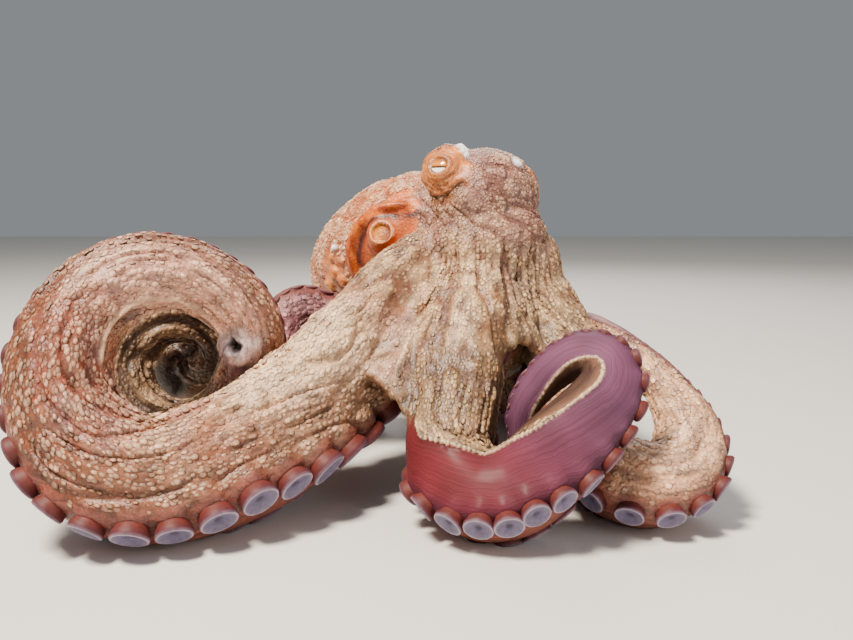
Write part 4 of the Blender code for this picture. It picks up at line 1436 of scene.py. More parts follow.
@dataclass
class Skin:
    """One skin over all the flesh, melted from the forms and then carved.

    Attributes:
        voxel: mm between the points of the first net.
        triangles: the finished skin's budget.
        spared: share of the hidden parts' net that the first thinning leaves.
        rounds: how many times the net is smoothed where forms meet.
        ring_pitch: mm from ring to ring of an arm.
        ring_sides: points on each ring.
        behind: the hidden parts start at this arm, this turn and this far back in mm.
    """

    voxel: float = 1.05
    triangles: int = 190_000
    spared: float = 0.30
    rounds: int = 16
    ring_pitch: float = 3.0
    ring_sides: int = 32
    behind: tuple = (4, 2.5, 95)

    def forms(self) -> list[Shape]:
        """Every form under the skin: head, mantle, crown, funnel, lip, webs and arms.

        Returns:
            The forms, which overlap.
        """
        eggs = BODY.head_forms() + BODY.mantle_forms()
        eggs += [Ellipsoid(Vector(place), half) for place, half in BODY.fullness]
        eggs += [Ellipsoid(Vector(BODY.crown_centre), BODY.crown_half), BODY.funnel_form()]
        shapes = [form.mesh() for form in eggs] + [BODY.funnel_tube()]
        lip = BODY.lip_path()
        swelling = np.sin(np.linspace(0, math.pi, len(lip))) ** 0.6
        shapes.append(swept(lip[::2], np.maximum(BODY.lip_radius * swelling[::2], 0.6)))
        shapes += [BODY.web(*web) for web in WEBS]
        shapes += [self.arm_form(line) for line in LINES.values()]
        return shapes + SUCKER_ROWS.stalks()

    def arm_form(self, line: ArmLine) -> Shape:
        """Points and faces of one arm, root to tip."""
        marks = np.append(np.arange(0, line.length - 1, self.ring_pitch), line.length - 0.5)
        rings = [line.ring(mark, self.ring_sides) for mark in marks]
        return np.vstack(rings), tube_faces(len(marks), self.ring_sides)

    def melt(self) -> Piece:
        """Melt the forms into one closed net.

        Returns:
            The net as an object.
        """
        made = mesh_object("octopus_skin", *gather(self.forms()))
        remesh = made.modifiers.new("melt", "REMESH")
        remesh.mode = "VOXEL"
        remesh.voxel_size = self.voxel * MM
        apply_modifiers(made)
        return made

    def smoothed(self, made: Piece) -> Array:
        """The net's points with its steps smoothed away, most of all where forms meet.

        Args:
            made: the net.

        Returns:
            The new places in mm.
        """
        points = points_of(made)
        survey = Survey.of(points)
        body = np.clip(survey.head + survey.mantle + ramp(survey.along, 110, 70)
                       + ramp(survey.apart, 6, 2), 0, 1)
        edges = edges_of(made)
        points = relax(points, edges, np.full(len(points), 0.5), 5)
        return relax(points, edges, 0.5 * body, self.rounds)

    def build(self) -> tuple[Piece, "Bed"]:
        """Make the whole skin, carved and coloured.

        Returns:
            The skin, and the bed that its papillae stand on.
        """
        made = self.melt()
        points = self.smoothed(made)
        place_points(made, points)
        LOG.info("skin net: %d points", len(points))
        survey = Survey.of(points)
        rise, colours, smooth, bed = self.textured(points, survey)
        carved = points + normals_of(made) * rise[:, None]
        for lid in (Eyelids(*eye) for eye in BODY.eyes().values()):
            colours = lid.paint(points, colours)
            carved = lid.shape(carved)
            bed.bare = np.maximum(bed.bare, lid.bare(points))
        siphon = Siphon()
        colours = siphon.paint(points, colours)
        carved = siphon.shape(carved)
        carved[:, 2] = np.maximum(carved[:, 2], FLOOR_GAP)
        place_points(made, carved)
        bed.points, bed.colours, bed.normals = carved, colours, normals_of(made)
        lay = np.pad(bed.lay, ((0, 0), (0, 1)))
        arm, turn, back = self.behind
        hidden = (survey.arm >= arm) | (np.abs(survey.turn) > turn) | (points[:, 1] > back)
        self.thin(made, carved, {"tone": colours, "lay": lay * MM, "streak": smooth,
                                 "wrinkle": bed.wrinkle, "hidden": hidden})
        made.data.shade_smooth()
        return made, bed

    @staticmethod
    def grounds(points: Array, survey: Survey, crown: Array) -> tuple:
        """Lay each texture over its own stretch of the animal.

        Args:
            points: places in mm.
            survey: where they lie on the animal.
            crown: how much each belongs to the crown.

        Returns:
            Height in mm, height as a share of a swelling, colour, number of the texture, and
            distances along and around, for each point.
        """
        count = len(points)
        rise, lift, zone = np.zeros(count), np.zeros(count), np.zeros(count, np.int64)
        colours = np.zeros((count, 3))
        lay = np.column_stack((survey.along, survey.around))
        for number, arm in enumerate(ARMS):
            here = survey.arm == number
            skin = ARM_SKINS.get(arm.name, PLAIN_SKIN)
            rise[here], lift[here] = skin.raised(lay[here], SEED + 10 * number)
            colours[here] = skin.coloured(lift[here], points[here], SEED)
            zone[here] = TEXTURES.index(skin)
        wall = ramp(survey.along, *COIL_WALL) * ramp(survey.turn, -0.1, -0.3)
        inner = survey.on("arm_right2") * np.maximum(ramp(survey.along, *COIL_TURNS), wall)
        crown_lay, space = BODY.crown_lay(points), BODY.askew(points)
        for skin, share, places in ((STREAK_SKIN, inner, lay), (CROWN_SKIN, crown, crown_lay),
                (MANTLE_SKIN, survey.mantle, space), (HEAD_SKIN, survey.head, space)):
            raised, height = skin.raised(places, SEED + 5)
            rise = rise + (raised - rise) * share
            lift = lift + (height - lift) * share
            colours = mix(colours, skin.coloured(height, points, SEED), share)
            zone[share > 0.5] = TEXTURES.index(skin)
        on_crown = zone == TEXTURES.index(CROWN_SKIN)
        lay[on_crown] = crown_lay[on_crown]
        return rise, lift, colours, zone, lay

    @staticmethod
    def washed(points: Array, survey: Survey, crown: Array, colours: Array) -> Array:
        """Lay on the arms' tints, the dusky clouds, and the greenish tint and painted shade low on the
        crown's far side.

        Args:
            points: places in mm.
            survey: where they lie on the animal.
            crown: how much each belongs to the crown.
            colours: the colours so far.

        Returns:
            The new colours.
        """
        for wash in WASHES:
            colours = tint(colours, wash.colour, wash.share(survey) * wash.strength)
        dusk = ramp(drift(points / 7, SEED + 31), 0.52, 0.72) * (1 - survey.mantle)
        colours = tint(colours, "#6e545c", dusk * 0.30)
        # The crown's far side is drawn towards greenish brown, most of all low down: partly the skin's
        # own colour and partly painted shade.
        olive_shade = crown * ramp(points[:, 0], 15, 45) * ramp(points[:, 2], 125, 75)
        return tint(colours, "#6c6444", olive_shade * 0.35)

    def textured(self, points: Array, survey: Survey) -> tuple:
        """Give every point its height, colour and papillae, before the lids and lips.

        Args:
            points: places in mm.
            survey: where they lie on the animal.

        Returns:
            Height in mm, colour, how smooth the skin is, and the papillae's bed.
        """
        along, turned = survey.along, np.abs(survey.turn)
        crown = np.maximum(ramp(survey.apart, 5, 1) * ramp(along, 112, 92), ramp(along, 82, 60))
        rise, lift, colours, zone, lay = self.grounds(points, survey, crown)
        colours = self.washed(points, survey, crown, colours)
        on_arms = 1 - np.clip(survey.head + survey.mantle + crown, 0, 1)
        low = np.maximum(survey.on("arm_right2") * ramp(turned, 1.0, 1.5), ramp(turned, 1.6, 2.1))
        low = low * ramp(along, 60, 100) * on_arms
        colours = tint(colours, "#6c3a1e", low * 0.75)
        under = ramp(turned, 2.1, 2.4) * ramp(along, 60, 100) * on_arms
        rise = rise * (1 - 0.8 * under)
        colours = tint(colours, "#8a4a3c", under * 0.7)
        cup = SUCKER_ROWS.closeness(points, turned > 1.1)
        rise = rise * (1 - cup)
        colours = tint(colours, "#763a34", cup * 0.8)
        flank = FlatFlank()
        slot = flank.slot(survey)
        smooth = np.maximum(flank.share(survey), slot)
        rise = rise * (1 - smooth)
        # The wall inside the first right arm's bend is painted dark brown, near black further from the
        # keel, as the shade in the slot.
        wall = tint(np.array(linear_rgb("#6c483a")), "#2a1416", ramp(survey.turn, -0.6, -0.2))
        colours = flank.paint(survey, points, mix(colours, wall, slot * 0.9))
        keel, marked = np.zeros(len(points)), np.zeros(len(points))
        for ridge in (FLANK_KEEL, COIL_KEEL, FLANK_FRINGE):
            share = ridge.share(survey)
            keel = np.maximum(keel, share)
            rise = rise * (1 - share) + ridge.height * share
            colours = tint(colours, ridge.colour, share ** 2 * 0.9)
        for spot in SPOTS:
            share = spot.share(points)
            marked = np.maximum(marked, share)
            rise = rise + spot.height * share
            colours = tint(colours, spot.colour, share * spot.strength)
        rise = rise + 0.9 * (drift(points / 17, SEED + 2) - 0.5) * (1 - smooth)
        near_siphon = self.near_siphon(points)
        tip = survey.on("arm_right1") * ramp(along, *BARE_TIP)
        bare = np.clip(under + smooth + keel + near_siphon + marked + cup + tip, 0, 1)
        wrinkle = (1 - smooth) * (1 - near_siphon) * (1 - np.clip(survey.head + survey.mantle, 0, 1))
        bed = Bed(zone=zone, lay=lay, bare=bare, lift=lift, wrinkle=wrinkle, survey=survey)
        return rise * (1 - near_siphon), colours, smooth, bed

    @staticmethod
    def near_siphon(points: Array) -> Array:
        """1 on the smooth skin of the funnel and the lip round it.

        Args:
            points: places in mm.

        Returns:
            A share for each point.
        """
        siphon = Siphon()
        lip, inner = siphon.edges(points)
        radius, along = siphon.mouth(points)
        bulb = BODY.funnel_form().beyond(points)
        return np.clip(ramp(lip, 6.4, 4.8) + ramp(bulb, 3, 1) + ramp(bulb, 16, 11) * inner
                       + ramp(radius, 13, 9) * (np.abs(along) < 12), 0, 1)

    def thin(self, made: Piece, fine: Array, fields: dict) -> None:
        """Thin the net to its budget and hand each field on from the nearest old point.

        Args:
            made: the skin.
            fine: its points before it is thinned.
            fields: values for each of those points.
        """
        tree = tree_of(fine)
        hidden = fields.pop("hidden")
        group = made.vertex_groups.new(name="hidden")
        group.add(np.flatnonzero(hidden).tolist(), 1.0, "REPLACE")
        for chosen in ("hidden", ""):       # first what lies behind, then the whole
            thinner = made.modifiers.new("thin", "DECIMATE")
            thinner.vertex_group = chosen
            made.data.calc_loop_triangles()
            kept = self.triangles / len(made.data.loop_triangles)
            thinner.ratio = 1 - (1 - self.spared) * hidden.mean() if chosen else min(1.0, kept)
            apply_modifiers(made)
            LOG.info("thinned to %d faces", len(made.data.polygons))
        nearest = np.array([tree.find(point)[1] for point in points_of(made).tolist()])
        kinds = {"tone": "FLOAT_COLOR", "lay": "FLOAT_VECTOR"}
        for name, values in fields.items():
            store(made, name, kinds.get(name, "FLOAT"), values[nearest])


@dataclass
class Bed:
    """The full net of the skin, which the papillae stand on.

    Attributes:
        zone: number in TEXTURES of the texture at each point.
        lay: distances along and around the arm, in mm.
        bare: 1 where no papilla stands.
        lift: 0 in a crease and 1 on the crest of a swelling.
        wrinkle: how much the skin is wrinkled along the arms.
        survey: the survey of the points.
        points: places in mm.
        normals: outward directions.
        colours: the skin's colours.
    """

    zone: Array
    lay: Array
    bare: Array
    lift: Array
    wrinkle: Array
    survey: Survey
    points: Array = None
    normals: Array = None
    colours: Array = None

    def seats(self, number: int) -> Array:
        """Pick the points where the papillae of one texture stand.

        Args:
            number: the texture's number in TEXTURES.

        Returns:
            Indexes of the chosen points.
        """
        here = np.flatnonzero((self.zone == number) & (self.bare < 0.35))
        spacing = np.array(TEXTURES[number].bead)
        if len(spacing) == 2:               # laid out along and around an arm
            places = self.lay[here] / spacing
            places[:, 0] += 0.5 * (np.floor(places[:, 1]) % 2)
            group = self.survey.arm[here]
        else:
            places = BODY.askew(self.points[here]) / spacing
            group = np.zeros(len(here))
        cell = np.floor(places)
        goal = cell + 0.5 + 0.6 * (np.column_stack(
            [scatter(cell, SEED + 80 + axis) for axis in range(len(spacing))]) - 0.5)
        miss = np.linalg.norm(places - goal, axis=1)
        order = np.lexsort((miss, *cell.T, group))
        keys = np.column_stack((group, cell))[order]
        first = np.ones(len(order), bool)
        first[1:] = np.any(keys[1:] != keys[:-1], axis=1)
        chosen = order[first]
        kept = scatter(keys[first][:, 1:], SEED + 95) < 0.88
        return here[chosen[(miss[chosen] < 0.6) & kept]]


# ---- nodes and finishes

class Bench:
    """Adds nodes to a tree and joins them."""

    def __init__(self, tree: bpy.types.NodeTree) -> None:
        """Start from an empty tree."""
        self.tree = tree
        tree.nodes.clear()

    def add(self, kind: str, inputs: dict = None, stops: tuple = (), **settings) -> bpy.types.Node:
        """Add a node.

        Args:
            kind: the node's type.
            inputs: a value, or another node's output, for each named or numbered input.
            stops: places and hex colours along the node's colour band, where it has one.
            settings: the node's own settings.

        Returns:
            The node.
        """
        node = self.tree.nodes.new(kind)
        for name, value in settings.items():
            setattr(node, name, value)
        for name, value in (inputs or {}).items():
            socket = node.inputs[name]
            if isinstance(value, bpy.types.NodeSocket):
                self.tree.links.new(value, socket)
            else:
                socket.default_value = value
        while stops and len(node.color_ramp.elements) < len(stops):
            node.color_ramp.elements.new(0.5)
        for number, (where, code) in enumerate(stops):
            node.color_ramp.elements[number].position = where
            node.color_ramp.elements[number].color = (*linear_rgb(code), 1)
        return node


SPREAD = ("Value", "From Min", "From Max", "To Min", "To Max")     # inputs of a range of values


class Finish:
    """A finish of the animal, made as one material."""

    name = "finish"

    def material(self) -> bpy.types.Material:
        """The finish as a material.

        Returns:
            The material.
        """
        made = bpy.data.materials.new(self.name)
        made.use_nodes = True
        bench = Bench(made.node_tree)
        bench.add("ShaderNodeOutputMaterial", {"Surface": self.surface(bench)})
        return made

    def surface(self, bench: Bench) -> bpy.types.NodeSocket:
        """The shader of the finish, which each finish builds in its own way."""
        raise NotImplementedError


@dataclass(frozen=True)
class SkinFinish(Finish):
    """Wet, living skin: the painted tone, finely mottled, with granules too small to carve.

    The water film gives it soft broken highlights, and light that goes a little way in warms
    the thin edges.

    Attributes:
        roughness: of the papillate skin.
        streak_roughness: of the smooth flank, which is matt.
        mottle: metres from fleck to fleck.
        granule: metres from granule to granule, drawn coarse enough to show.
        streaks: streaks of the smooth flank per metre, along and around an arm.
        wrinkles: wrinkles per metre, along and around an arm.
        seen_into: how far red, green and blue light goes in, as shares.
    """

    name: str = "octopus_skin"
    roughness: float = 0.46
    streak_roughness: float = 0.72
    mottle: float = 0.0032
    granule: float = 0.0012
    streaks: tuple = (12, 1300, 1)
    wrinkles: tuple = (75.0, 330.0, 1.0)
    seen_into: tuple = (1.0, 0.45, 0.3)

    def surface(self, bench: Bench) -> bpy.types.NodeSocket:
        """The skin's shader, which reads the attributes of the skin and its papillae.

        Args:
            bench: adds nodes to the material's tree.

        Returns:
            The shader's output.
        """
        place = bench.add("ShaderNodeTexCoord").outputs["Object"]
        skin, crest, lay, streak, papilla, wrinkle = (
            bench.add("ShaderNodeAttribute", attribute_name=name).outputs[output]
            for name, output in (("tone", "Color"), ("crest", "Color"), ("lay", "Vector"),
                                 ("streak", "Fac"), ("papilla", "Fac"), ("wrinkle", "Fac")))
        # Each papilla goes from the skin's tone at its foot to its paler crest colour at its tip:
        # partly its own tone, partly painted highlight.
        tone = bench.add("ShaderNodeMix", {"Factor": papilla, 6: skin, 7: crest},
                         data_type="RGBA").outputs[2]
        fleck = bench.add("ShaderNodeTexNoise", {"Vector": place, "Scale": 1 / self.mottle,
                                                 "Detail": 3.0, "Roughness": 0.6})
        grain = bench.add("ShaderNodeTexVoronoi", {"Vector": place, "Scale": 1 / self.granule},
                          feature="F1")
        stretch, drawn = (bench.add("ShaderNodeMapping", {"Vector": lay, "Scale": scale})
                          for scale in (self.streaks, self.wrinkles))
        lines = bench.add("ShaderNodeTexNoise", {"Vector": stretch.outputs["Vector"],
                                                 "Scale": 1.0, "Detail": 2.0})
        folds = bench.add("ShaderNodeTexNoise", {"Vector": drawn.outputs["Vector"], "Scale": 1.0,
            "Detail": 3.0, "Roughness": 0.55, "Distortion": 0.6})
        # The granules are drawn darker towards their edges and the wrinkles darker in their furrows:
        # painted shade that follows the bump, over the skin's own random flecks.
        bright, dots, lined, folded = (
            bench.add("ShaderNodeMapRange", dict(zip(SPREAD, row))).outputs[0]
            for row in ((fleck.outputs["Fac"], 0.3, 0.7, 0.72, 1.24),
                        (grain.outputs["Distance"], 0.15, 0.75, 1.14, 0.80),
                        (lines.outputs["Fac"], 0.35, 0.65, 0.80, 1.18),
                        (folds.outputs["Fac"], 0.34, 0.60, 0.50, 1.22)))
        wrinkle_relief_and_shade = bench.add("ShaderNodeMix", {"Factor": wrinkle, "A": 1.0, "B": folded})
        mottled = bench.add("ShaderNodeMath", {0: bright, 1: dots}, operation="MULTIPLY")
        plain = bench.add("ShaderNodeMath", {0: mottled.outputs[0], 1: wrinkle_relief_and_shade.outputs["Result"]},
                          operation="MULTIPLY")
        height = bench.add("ShaderNodeMath", {0: wrinkle_relief_and_shade.outputs["Result"], 1: grain.outputs["Distance"]},
            operation="SUBTRACT")
        shade, relief, sheen, gloss = (bench.add("ShaderNodeMix",
            {"Factor": streak, "A": low, "B": high}).outputs["Result"]
            for low, high in ((plain.outputs[0], lined), (height.outputs[0], lines.outputs["Fac"]),
            (self.roughness, self.streak_roughness), (0.5, 0.2)))
        colour = bench.add("ShaderNodeVectorMath", {0: tone, "Scale": shade}, operation="SCALE")
        bump = bench.add("ShaderNodeBump", {"Height": relief, "Strength": 0.35, "Distance": 0.0006})
        return bench.add("ShaderNodeBsdfPrincipled", {"Base Color": colour.outputs["Vector"],
            "Roughness": sheen, "Specular IOR Level": gloss, "Normal": bump.outputs["Normal"],
            "Subsurface Weight": 0.12, "Subsurface Scale": 0.002, "Subsurface Radius": self.seen_into,
            "Coat Weight": 0.06, "Coat Roughness": 0.3}).outputs["BSDF"]


# ---- what Geometry Nodes sets out

@dataclass
class Planting:
    """Copies of one small shape, set out on many seats by Geometry Nodes.

    Attributes:
        name: the piece's name.
        seats: where each copy stands, in mm.
        up: which way each copy's Z axis points.
        along: which way its X axis leans.
        span: its size along its own axes, in mm.
        fields: an attribute's name, with its kind and one value for each copy.
    """

    name: str
    seats: Array
    up: Array
    along: Array
    span: Array
    fields: dict

    inputs = (("Geometry", "NodeSocketGeometry"), ("Shape", "NodeSocketObject"),
        ("Finish", "NodeSocketMaterial"), ("Variation", "NodeSocketFloat"), ("Seed", "NodeSocketInt"))

    def tree(self) -> bpy.types.NodeTree:
        """The node tree that stands a copy on each seat and makes them all real.

        Returns:
            The tree.
        """
        tree = bpy.data.node_groups.new("plant_" + self.name, "GeometryNodeTree")
        bench = Bench(tree)
        for name, kind in self.inputs:
            tree.interface.new_socket(name=name, in_out="INPUT", socket_type=kind)
        tree.interface.new_socket(name="Geometry", in_out="OUTPUT", socket_type=self.inputs[0][1])
        given = bench.add("NodeGroupInput").outputs
        shape = bench.add("GeometryNodeObjectInfo", {"Object": given["Shape"]})
        up, along, span = (bench.add("GeometryNodeInputNamedAttribute", {"Name": name},
            data_type="FLOAT_VECTOR").outputs["Attribute"] for name in ("up", "along", "span"))
        turn = bench.add("FunctionNodeAxesToRotation", {"Primary Axis": up, "Secondary Axis": along},
            primary_axis="Z", secondary_axis="X")
        least = bench.add("ShaderNodeMath", {0: 1.0, 1: given["Variation"]}, operation="SUBTRACT")
        chance = bench.add("FunctionNodeRandomValue", {2: least.outputs[0], 3: 1.0,
            "Seed": given["Seed"]}, data_type="FLOAT")
        scale = bench.add("ShaderNodeVectorMath", {0: span, "Scale": chance.outputs[1]},
                          operation="SCALE")
        planted = bench.add("GeometryNodeInstanceOnPoints", {"Points": given["Geometry"],
            "Instance": shape.outputs["Geometry"], "Rotation": turn.outputs["Rotation"],
            "Scale": scale.outputs["Vector"]})
        real = bench.add("GeometryNodeRealizeInstances", {"Geometry": planted.outputs["Instances"]})
        done = bench.add("GeometryNodeSetMaterial", {"Geometry": real.outputs["Geometry"],
                                                     "Material": given["Finish"]})
        bench.add("NodeGroupOutput", {"Geometry": done.outputs["Geometry"]})
        return tree

    def build(self, shape: Piece, finish: bpy.types.Material, variation: float) -> Piece:
        """Set out the copies as one plain mesh.

        Args:
            shape: the small shape, in millimetres of its own size.
            finish: the material of the copies.
            variation: the largest share by which a copy is smaller than asked.

        Returns:
            The piece.
        """
        made = mesh_object(self.name, self.seats, [])
        vectors = {"up": self.up, "along": self.along, "span": self.span * MM}
        for name, values in vectors.items():
            store(made, name, "FLOAT_VECTOR", values)
        for name, (kind, values) in self.fields.items():
            store(made, name, kind, values)
        tree = self.tree()
        planter = made.modifiers.new("plant", "NODES")
        planter.node_group = tree
        chosen = {"Shape": shape, "Finish": finish, "Variation": variation, "Seed": SEED}
        for item in tree.interface.items_tree:
            if item.in_out == "INPUT" and item.name in chosen:
                planter[item.identifier] = chosen[item.name]
        apply_modifiers(made)
        for name in vectors:
            made.data.attributes.remove(made.data.attributes[name])
        made.data.shade_smooth()
        return made


def turned_shape(name: str, profile: tuple, sides: int, field: str) -> Piece:
    """A small round shape turned from a profile, to be set out many times.

    Args:
        name: its name.
        profile: radius, height and field value of each ring, with the last one on the axis.
        sides: points on each ring.
        field: the attribute that holds the field values.

    Returns:
        The shape, one unit across and high, which is not part of the model.
    """
    angle = np.arange(sides) * 2 * math.pi / sides
    rows, values = [], []
    for radius, height, value in profile[:-1]:
        rows.append(np.column_stack((radius * np.cos(angle), radius * np.sin(angle),
                                     np.full(sides, height))))
        values += [value] * sides
    tip = (0, 0, profile[-1][1])
    values.append(profile[-1][2])
    faces = tube_faces(len(rows), sides)[:-1]
    top = (len(rows) - 1) * sides
    faces += [(top + step, top + (step + 1) % sides, top + sides) for step in range(sides)]
    mesh = bpy.data.meshes.new(name)
    mesh.from_pydata(np.vstack(rows + [tip]).tolist(), [], faces)
    made = placed(name, mesh)
    store(made, field, "FLOAT", np.array(values))
    return made


@dataclass(frozen=True)
class Papillae:
    """The small soft points of the skin, one piece for each texture."""

    bed: Bed
    names = ("head", "mantle", "crown", "arm_right1", "arm_right2", "arm_left1", "inner_coil",
             "arm_right3", "hidden_arms")
    profile = ((1.10, -0.30, 0.0), (0.62, 0.60, 0.55), (0.0, 1.0, 1.0))
    sides: int = 6

    def planting(self, number: int) -> Planting:
        """The papillae of one texture, ready to be set out.

        Args:
            number: the texture's number in TEXTURES.

        Returns:
            Their places, turns, sizes and colours.
        """
        bed, texture = self.bed, TEXTURES[number]
        seats = bed.seats(number)
        cell = np.round(bed.points[seats] * 20)     # twentieths of a millimetre
        arm = bed.survey.arm[seats].astype(int)
        along = np.zeros((len(seats), 3))
        for index, kind in enumerate(ARMS):
            line = LINES[kind.name]
            here = arm == index
            mark = np.clip(bed.survey.along[seats][here], 0, line.length - 1).astype(int)
            along[here] = line.tangent[mark]
        chance = scatter(cell, SEED + 91)
        lift = 0.45 + 0.55 * bed.lift[seats]
        girth = 0.66 * (0.70 + 0.55 * chance) * (0.8 + 0.2 * lift)
        height = texture.bead_height * (0.5 + 0.7 * chance) * lift * (1 - bed.bare[seats])
        span = np.column_stack((texture.bead[0] * girth, texture.bead[1] * girth, height))
        top = np.array(linear_rgb(texture.top))
        light = 0.75 + 0.4 * scatter(cell, SEED + 92)
        # A papilla's crest is paler on the crests of swellings, and each is lighter or darker at
        # random: partly its own tone, partly painted highlight.
        crest = mix(bed.colours[seats], top, 0.15 + 0.40 * bed.lift[seats]) * light[:, None]
        fields = {"tone": ("FLOAT_COLOR", bed.colours[seats]), "crest": ("FLOAT_COLOR", crest),
            "lay": ("FLOAT_VECTOR", np.pad(bed.lay[seats] * MM, ((0, 0), (0, 1)))),
            "wrinkle": ("FLOAT", bed.wrinkle[seats])}
        return Planting("papillae_" + self.names[number], bed.points[seats],
                        bed.normals[seats], along, span, fields)

    def build(self, finish: bpy.types.Material) -> list[Piece]:
        """Set out every texture's papillae.

        Args:
            finish: the skin's material.

        Returns:
            One piece for each texture.
        """
        shape = turned_shape("papilla_shape", self.profile, self.sides, "papilla")
        made = [self.planting(number).build(shape, finish, 0.15) for number in range(len(TEXTURES))]
        bpy.data.objects.remove(shape)
        for piece in made:
            rest_on_floor(piece)
        return made


@dataclass(frozen=True)
class SuckerFinish(Finish):
    """The soft rubbery skin of a sucker: maroon stalk, pale rim and lavender face.

    Its film is thin, so that it shows a dim sheen and no sharp glint.

    Attributes:
        stops: colours from the foot of a sucker, over its rim, to the middle of its face; the face
            darkens towards its middle, partly its own tone and partly painted shade in the cup.
        dull: colour of the last suckers, which lie deeper on the curls: partly their own dark maroon
            and partly painted shade.
        flecks: flecks per metre, 2.4 mm apart.
    """

    name: str = "octopus_sucker"
    stops: tuple = ((0.0, "#6a2e26"), (0.20, "#582420"), (0.38, "#50242a"), (0.47, "#6c5464"),
                    (0.54, "#a89aa8"), (0.62, "#746c84"), (0.88, "#5e5874"), (1.0, "#463a50"))
    dull: str = "#54282a"
    flecks: float = 420.0

    def surface(self, bench: Bench) -> bpy.types.NodeSocket:
        """The suckers' shader, which reads the place on the sucker.

        Args:
            bench: adds nodes to the material's tree.

        Returns:
            The shader's output.
        """
        place = bench.add("ShaderNodeTexCoord").outputs["Object"]
        zone, sunk_shade_share = (bench.add("ShaderNodeAttribute", attribute_name=name).outputs["Fac"]
                          for name in ("zone", "dull"))
        band = bench.add("ShaderNodeValToRGB", {"Fac": zone}, self.stops)
        fleck = bench.add("ShaderNodeTexNoise", {"Vector": place, "Scale": self.flecks, "Detail": 2.0})
        bright = bench.add("ShaderNodeMapRange",
                           dict(zip(SPREAD, (fleck.outputs["Fac"], 0.3, 0.7, 0.8, 1.15))))
        # The last suckers are drawn towards a dark maroon: partly their own colour and partly painted
        # shade.
        share = bench.add("ShaderNodeMath", {0: sunk_shade_share, 1: 0.75}, operation="MULTIPLY")
        toned = bench.add("ShaderNodeMix", {"Factor": share.outputs[0], 6: band.outputs["Color"],
            7: (*linear_rgb(self.dull), 1)}, data_type="RGBA")
        colour = bench.add("ShaderNodeVectorMath", {0: toned.outputs[2], "Scale": bright.outputs[0]},
            operation="SCALE")
        return bench.add("ShaderNodeBsdfPrincipled", {"Base Color": colour.outputs["Vector"],
            "Roughness": 0.58, "Specular IOR Level": 0.3, "Subsurface Weight": 0.15,
            "Subsurface Scale": 0.002}).outputs["BSDF"]


@dataclass(frozen=True)
class Suckers:
    """The suckers themselves, in two sizes of detail."""

    rows: SuckerRows = SUCKER_ROWS
    detailed_from: float = 8.5   # suckers this wide or more have the finer shape
    fine = ((0.78, -0.60, 0.0), (0.84, 0.0, 0.12), (0.97, 0.42, 0.28), (1.0, 0.74, 0.40),
            (0.96, 0.97, 0.50), (0.88, 1.0, 0.58), (0.72, 0.86, 0.72), (0.48, 0.74, 0.80),
            (0.26, 0.68, 0.88), (0.19, 0.56, 0.97), (0.0, 0.52, 1.0))
    plain = ((0.80, -0.60, 0.0), (0.92, 0.20, 0.25), (1.00, 0.72, 0.42), (0.88, 1.00, 0.60),
             (0.42, 0.70, 0.82), (0.0, 0.45, 1.0))

    def build(self, finish: bpy.types.Material) -> list[Piece]:
        """Set out the large and the small suckers of all arms.

        Args:
            finish: the suckers' material.

        Returns:
            One piece for each of the two shapes.
        """
        foot, rim, tangent, diameter, dull = self.rows.all()
        axis = unit(rim - foot)
        thick = diameter * self.rows.thick
        seat = rim - axis * thick[:, None]
        large = diameter >= self.detailed_from
        made = []
        for name, chosen, profile, sides in (("suckers_large", large, self.fine, 28),
                                             ("suckers_small", ~large, self.plain, 12)):
            shape = turned_shape(name + "_shape", profile, sides, "zone")
            span = np.column_stack((diameter / 2, diameter / 2, thick))[chosen]
            planting = Planting(name, seat[chosen], axis[chosen], tangent[chosen], span,
                                {"dull": ("FLOAT", dull[chosen])})
            piece = planting.build(shape, finish, 0.10)
            rest_on_floor(piece)
            bpy.data.objects.remove(shape)
            made.append(piece)
        return made


# ---- the eyes

@dataclass(frozen=True)
class EyeFinish(Finish):
    """A wet eye: golden iris over a dark level slit, with white below it.

    It is the glossiest part of the animal and shows the lights sharply.

    Attributes:
        stops: colours from the bottom of the ball upward.
        ragged: waves per metre of the bands' edges, 1.1 mm apart.
        lowered: how far the slit lies above the ball's middle, in its radii.
    """

    name: str = "octopus_eye"
    stops: tuple = ((0.0, "#ffffff"), (0.05, "#ffffff"), (0.065, "#20140f"), (0.14, "#20140f"),
                    (0.16, "#a8611f"), (0.26, "#d98c36"), (0.5, "#a05c26"))
    ragged: float = 900.0
    lowered: float = -0.16

    def surface(self, bench: Bench) -> bpy.types.NodeSocket:
        """The eye's shader, which reads where on the ball a point is.

        Args:
            bench: adds nodes to the material's tree.

        Returns:
            The shader's output.
        """
        place = bench.add("ShaderNodeTexCoord").outputs["Object"]
        gaze = bench.add("ShaderNodeAttribute", attribute_name="gaze").outputs["Vector"]
        split = bench.add("ShaderNodeSeparateXYZ", {0: gaze})
        ragged = bench.add("ShaderNodeTexNoise", {"Vector": place, "Scale": self.ragged})
        lifted = bench.add("ShaderNodeMath", {0: split.outputs["Y"], 1: self.lowered}, operation="ADD")
        height = bench.add("ShaderNodeMath", {0: ragged.outputs["Fac"], 1: 0.04, 2: lifted.outputs[0]},
            operation="MULTIPLY_ADD")
        band = bench.add("ShaderNodeValToRGB", {"Fac": height.outputs[0]}, self.stops)
        return bench.add("ShaderNodeBsdfPrincipled", {"Base Color": band.outputs["Color"],
            "Roughness": 0.12, "Coat Weight": 0.8, "Coat Roughness": 0.04}).outputs["BSDF"]


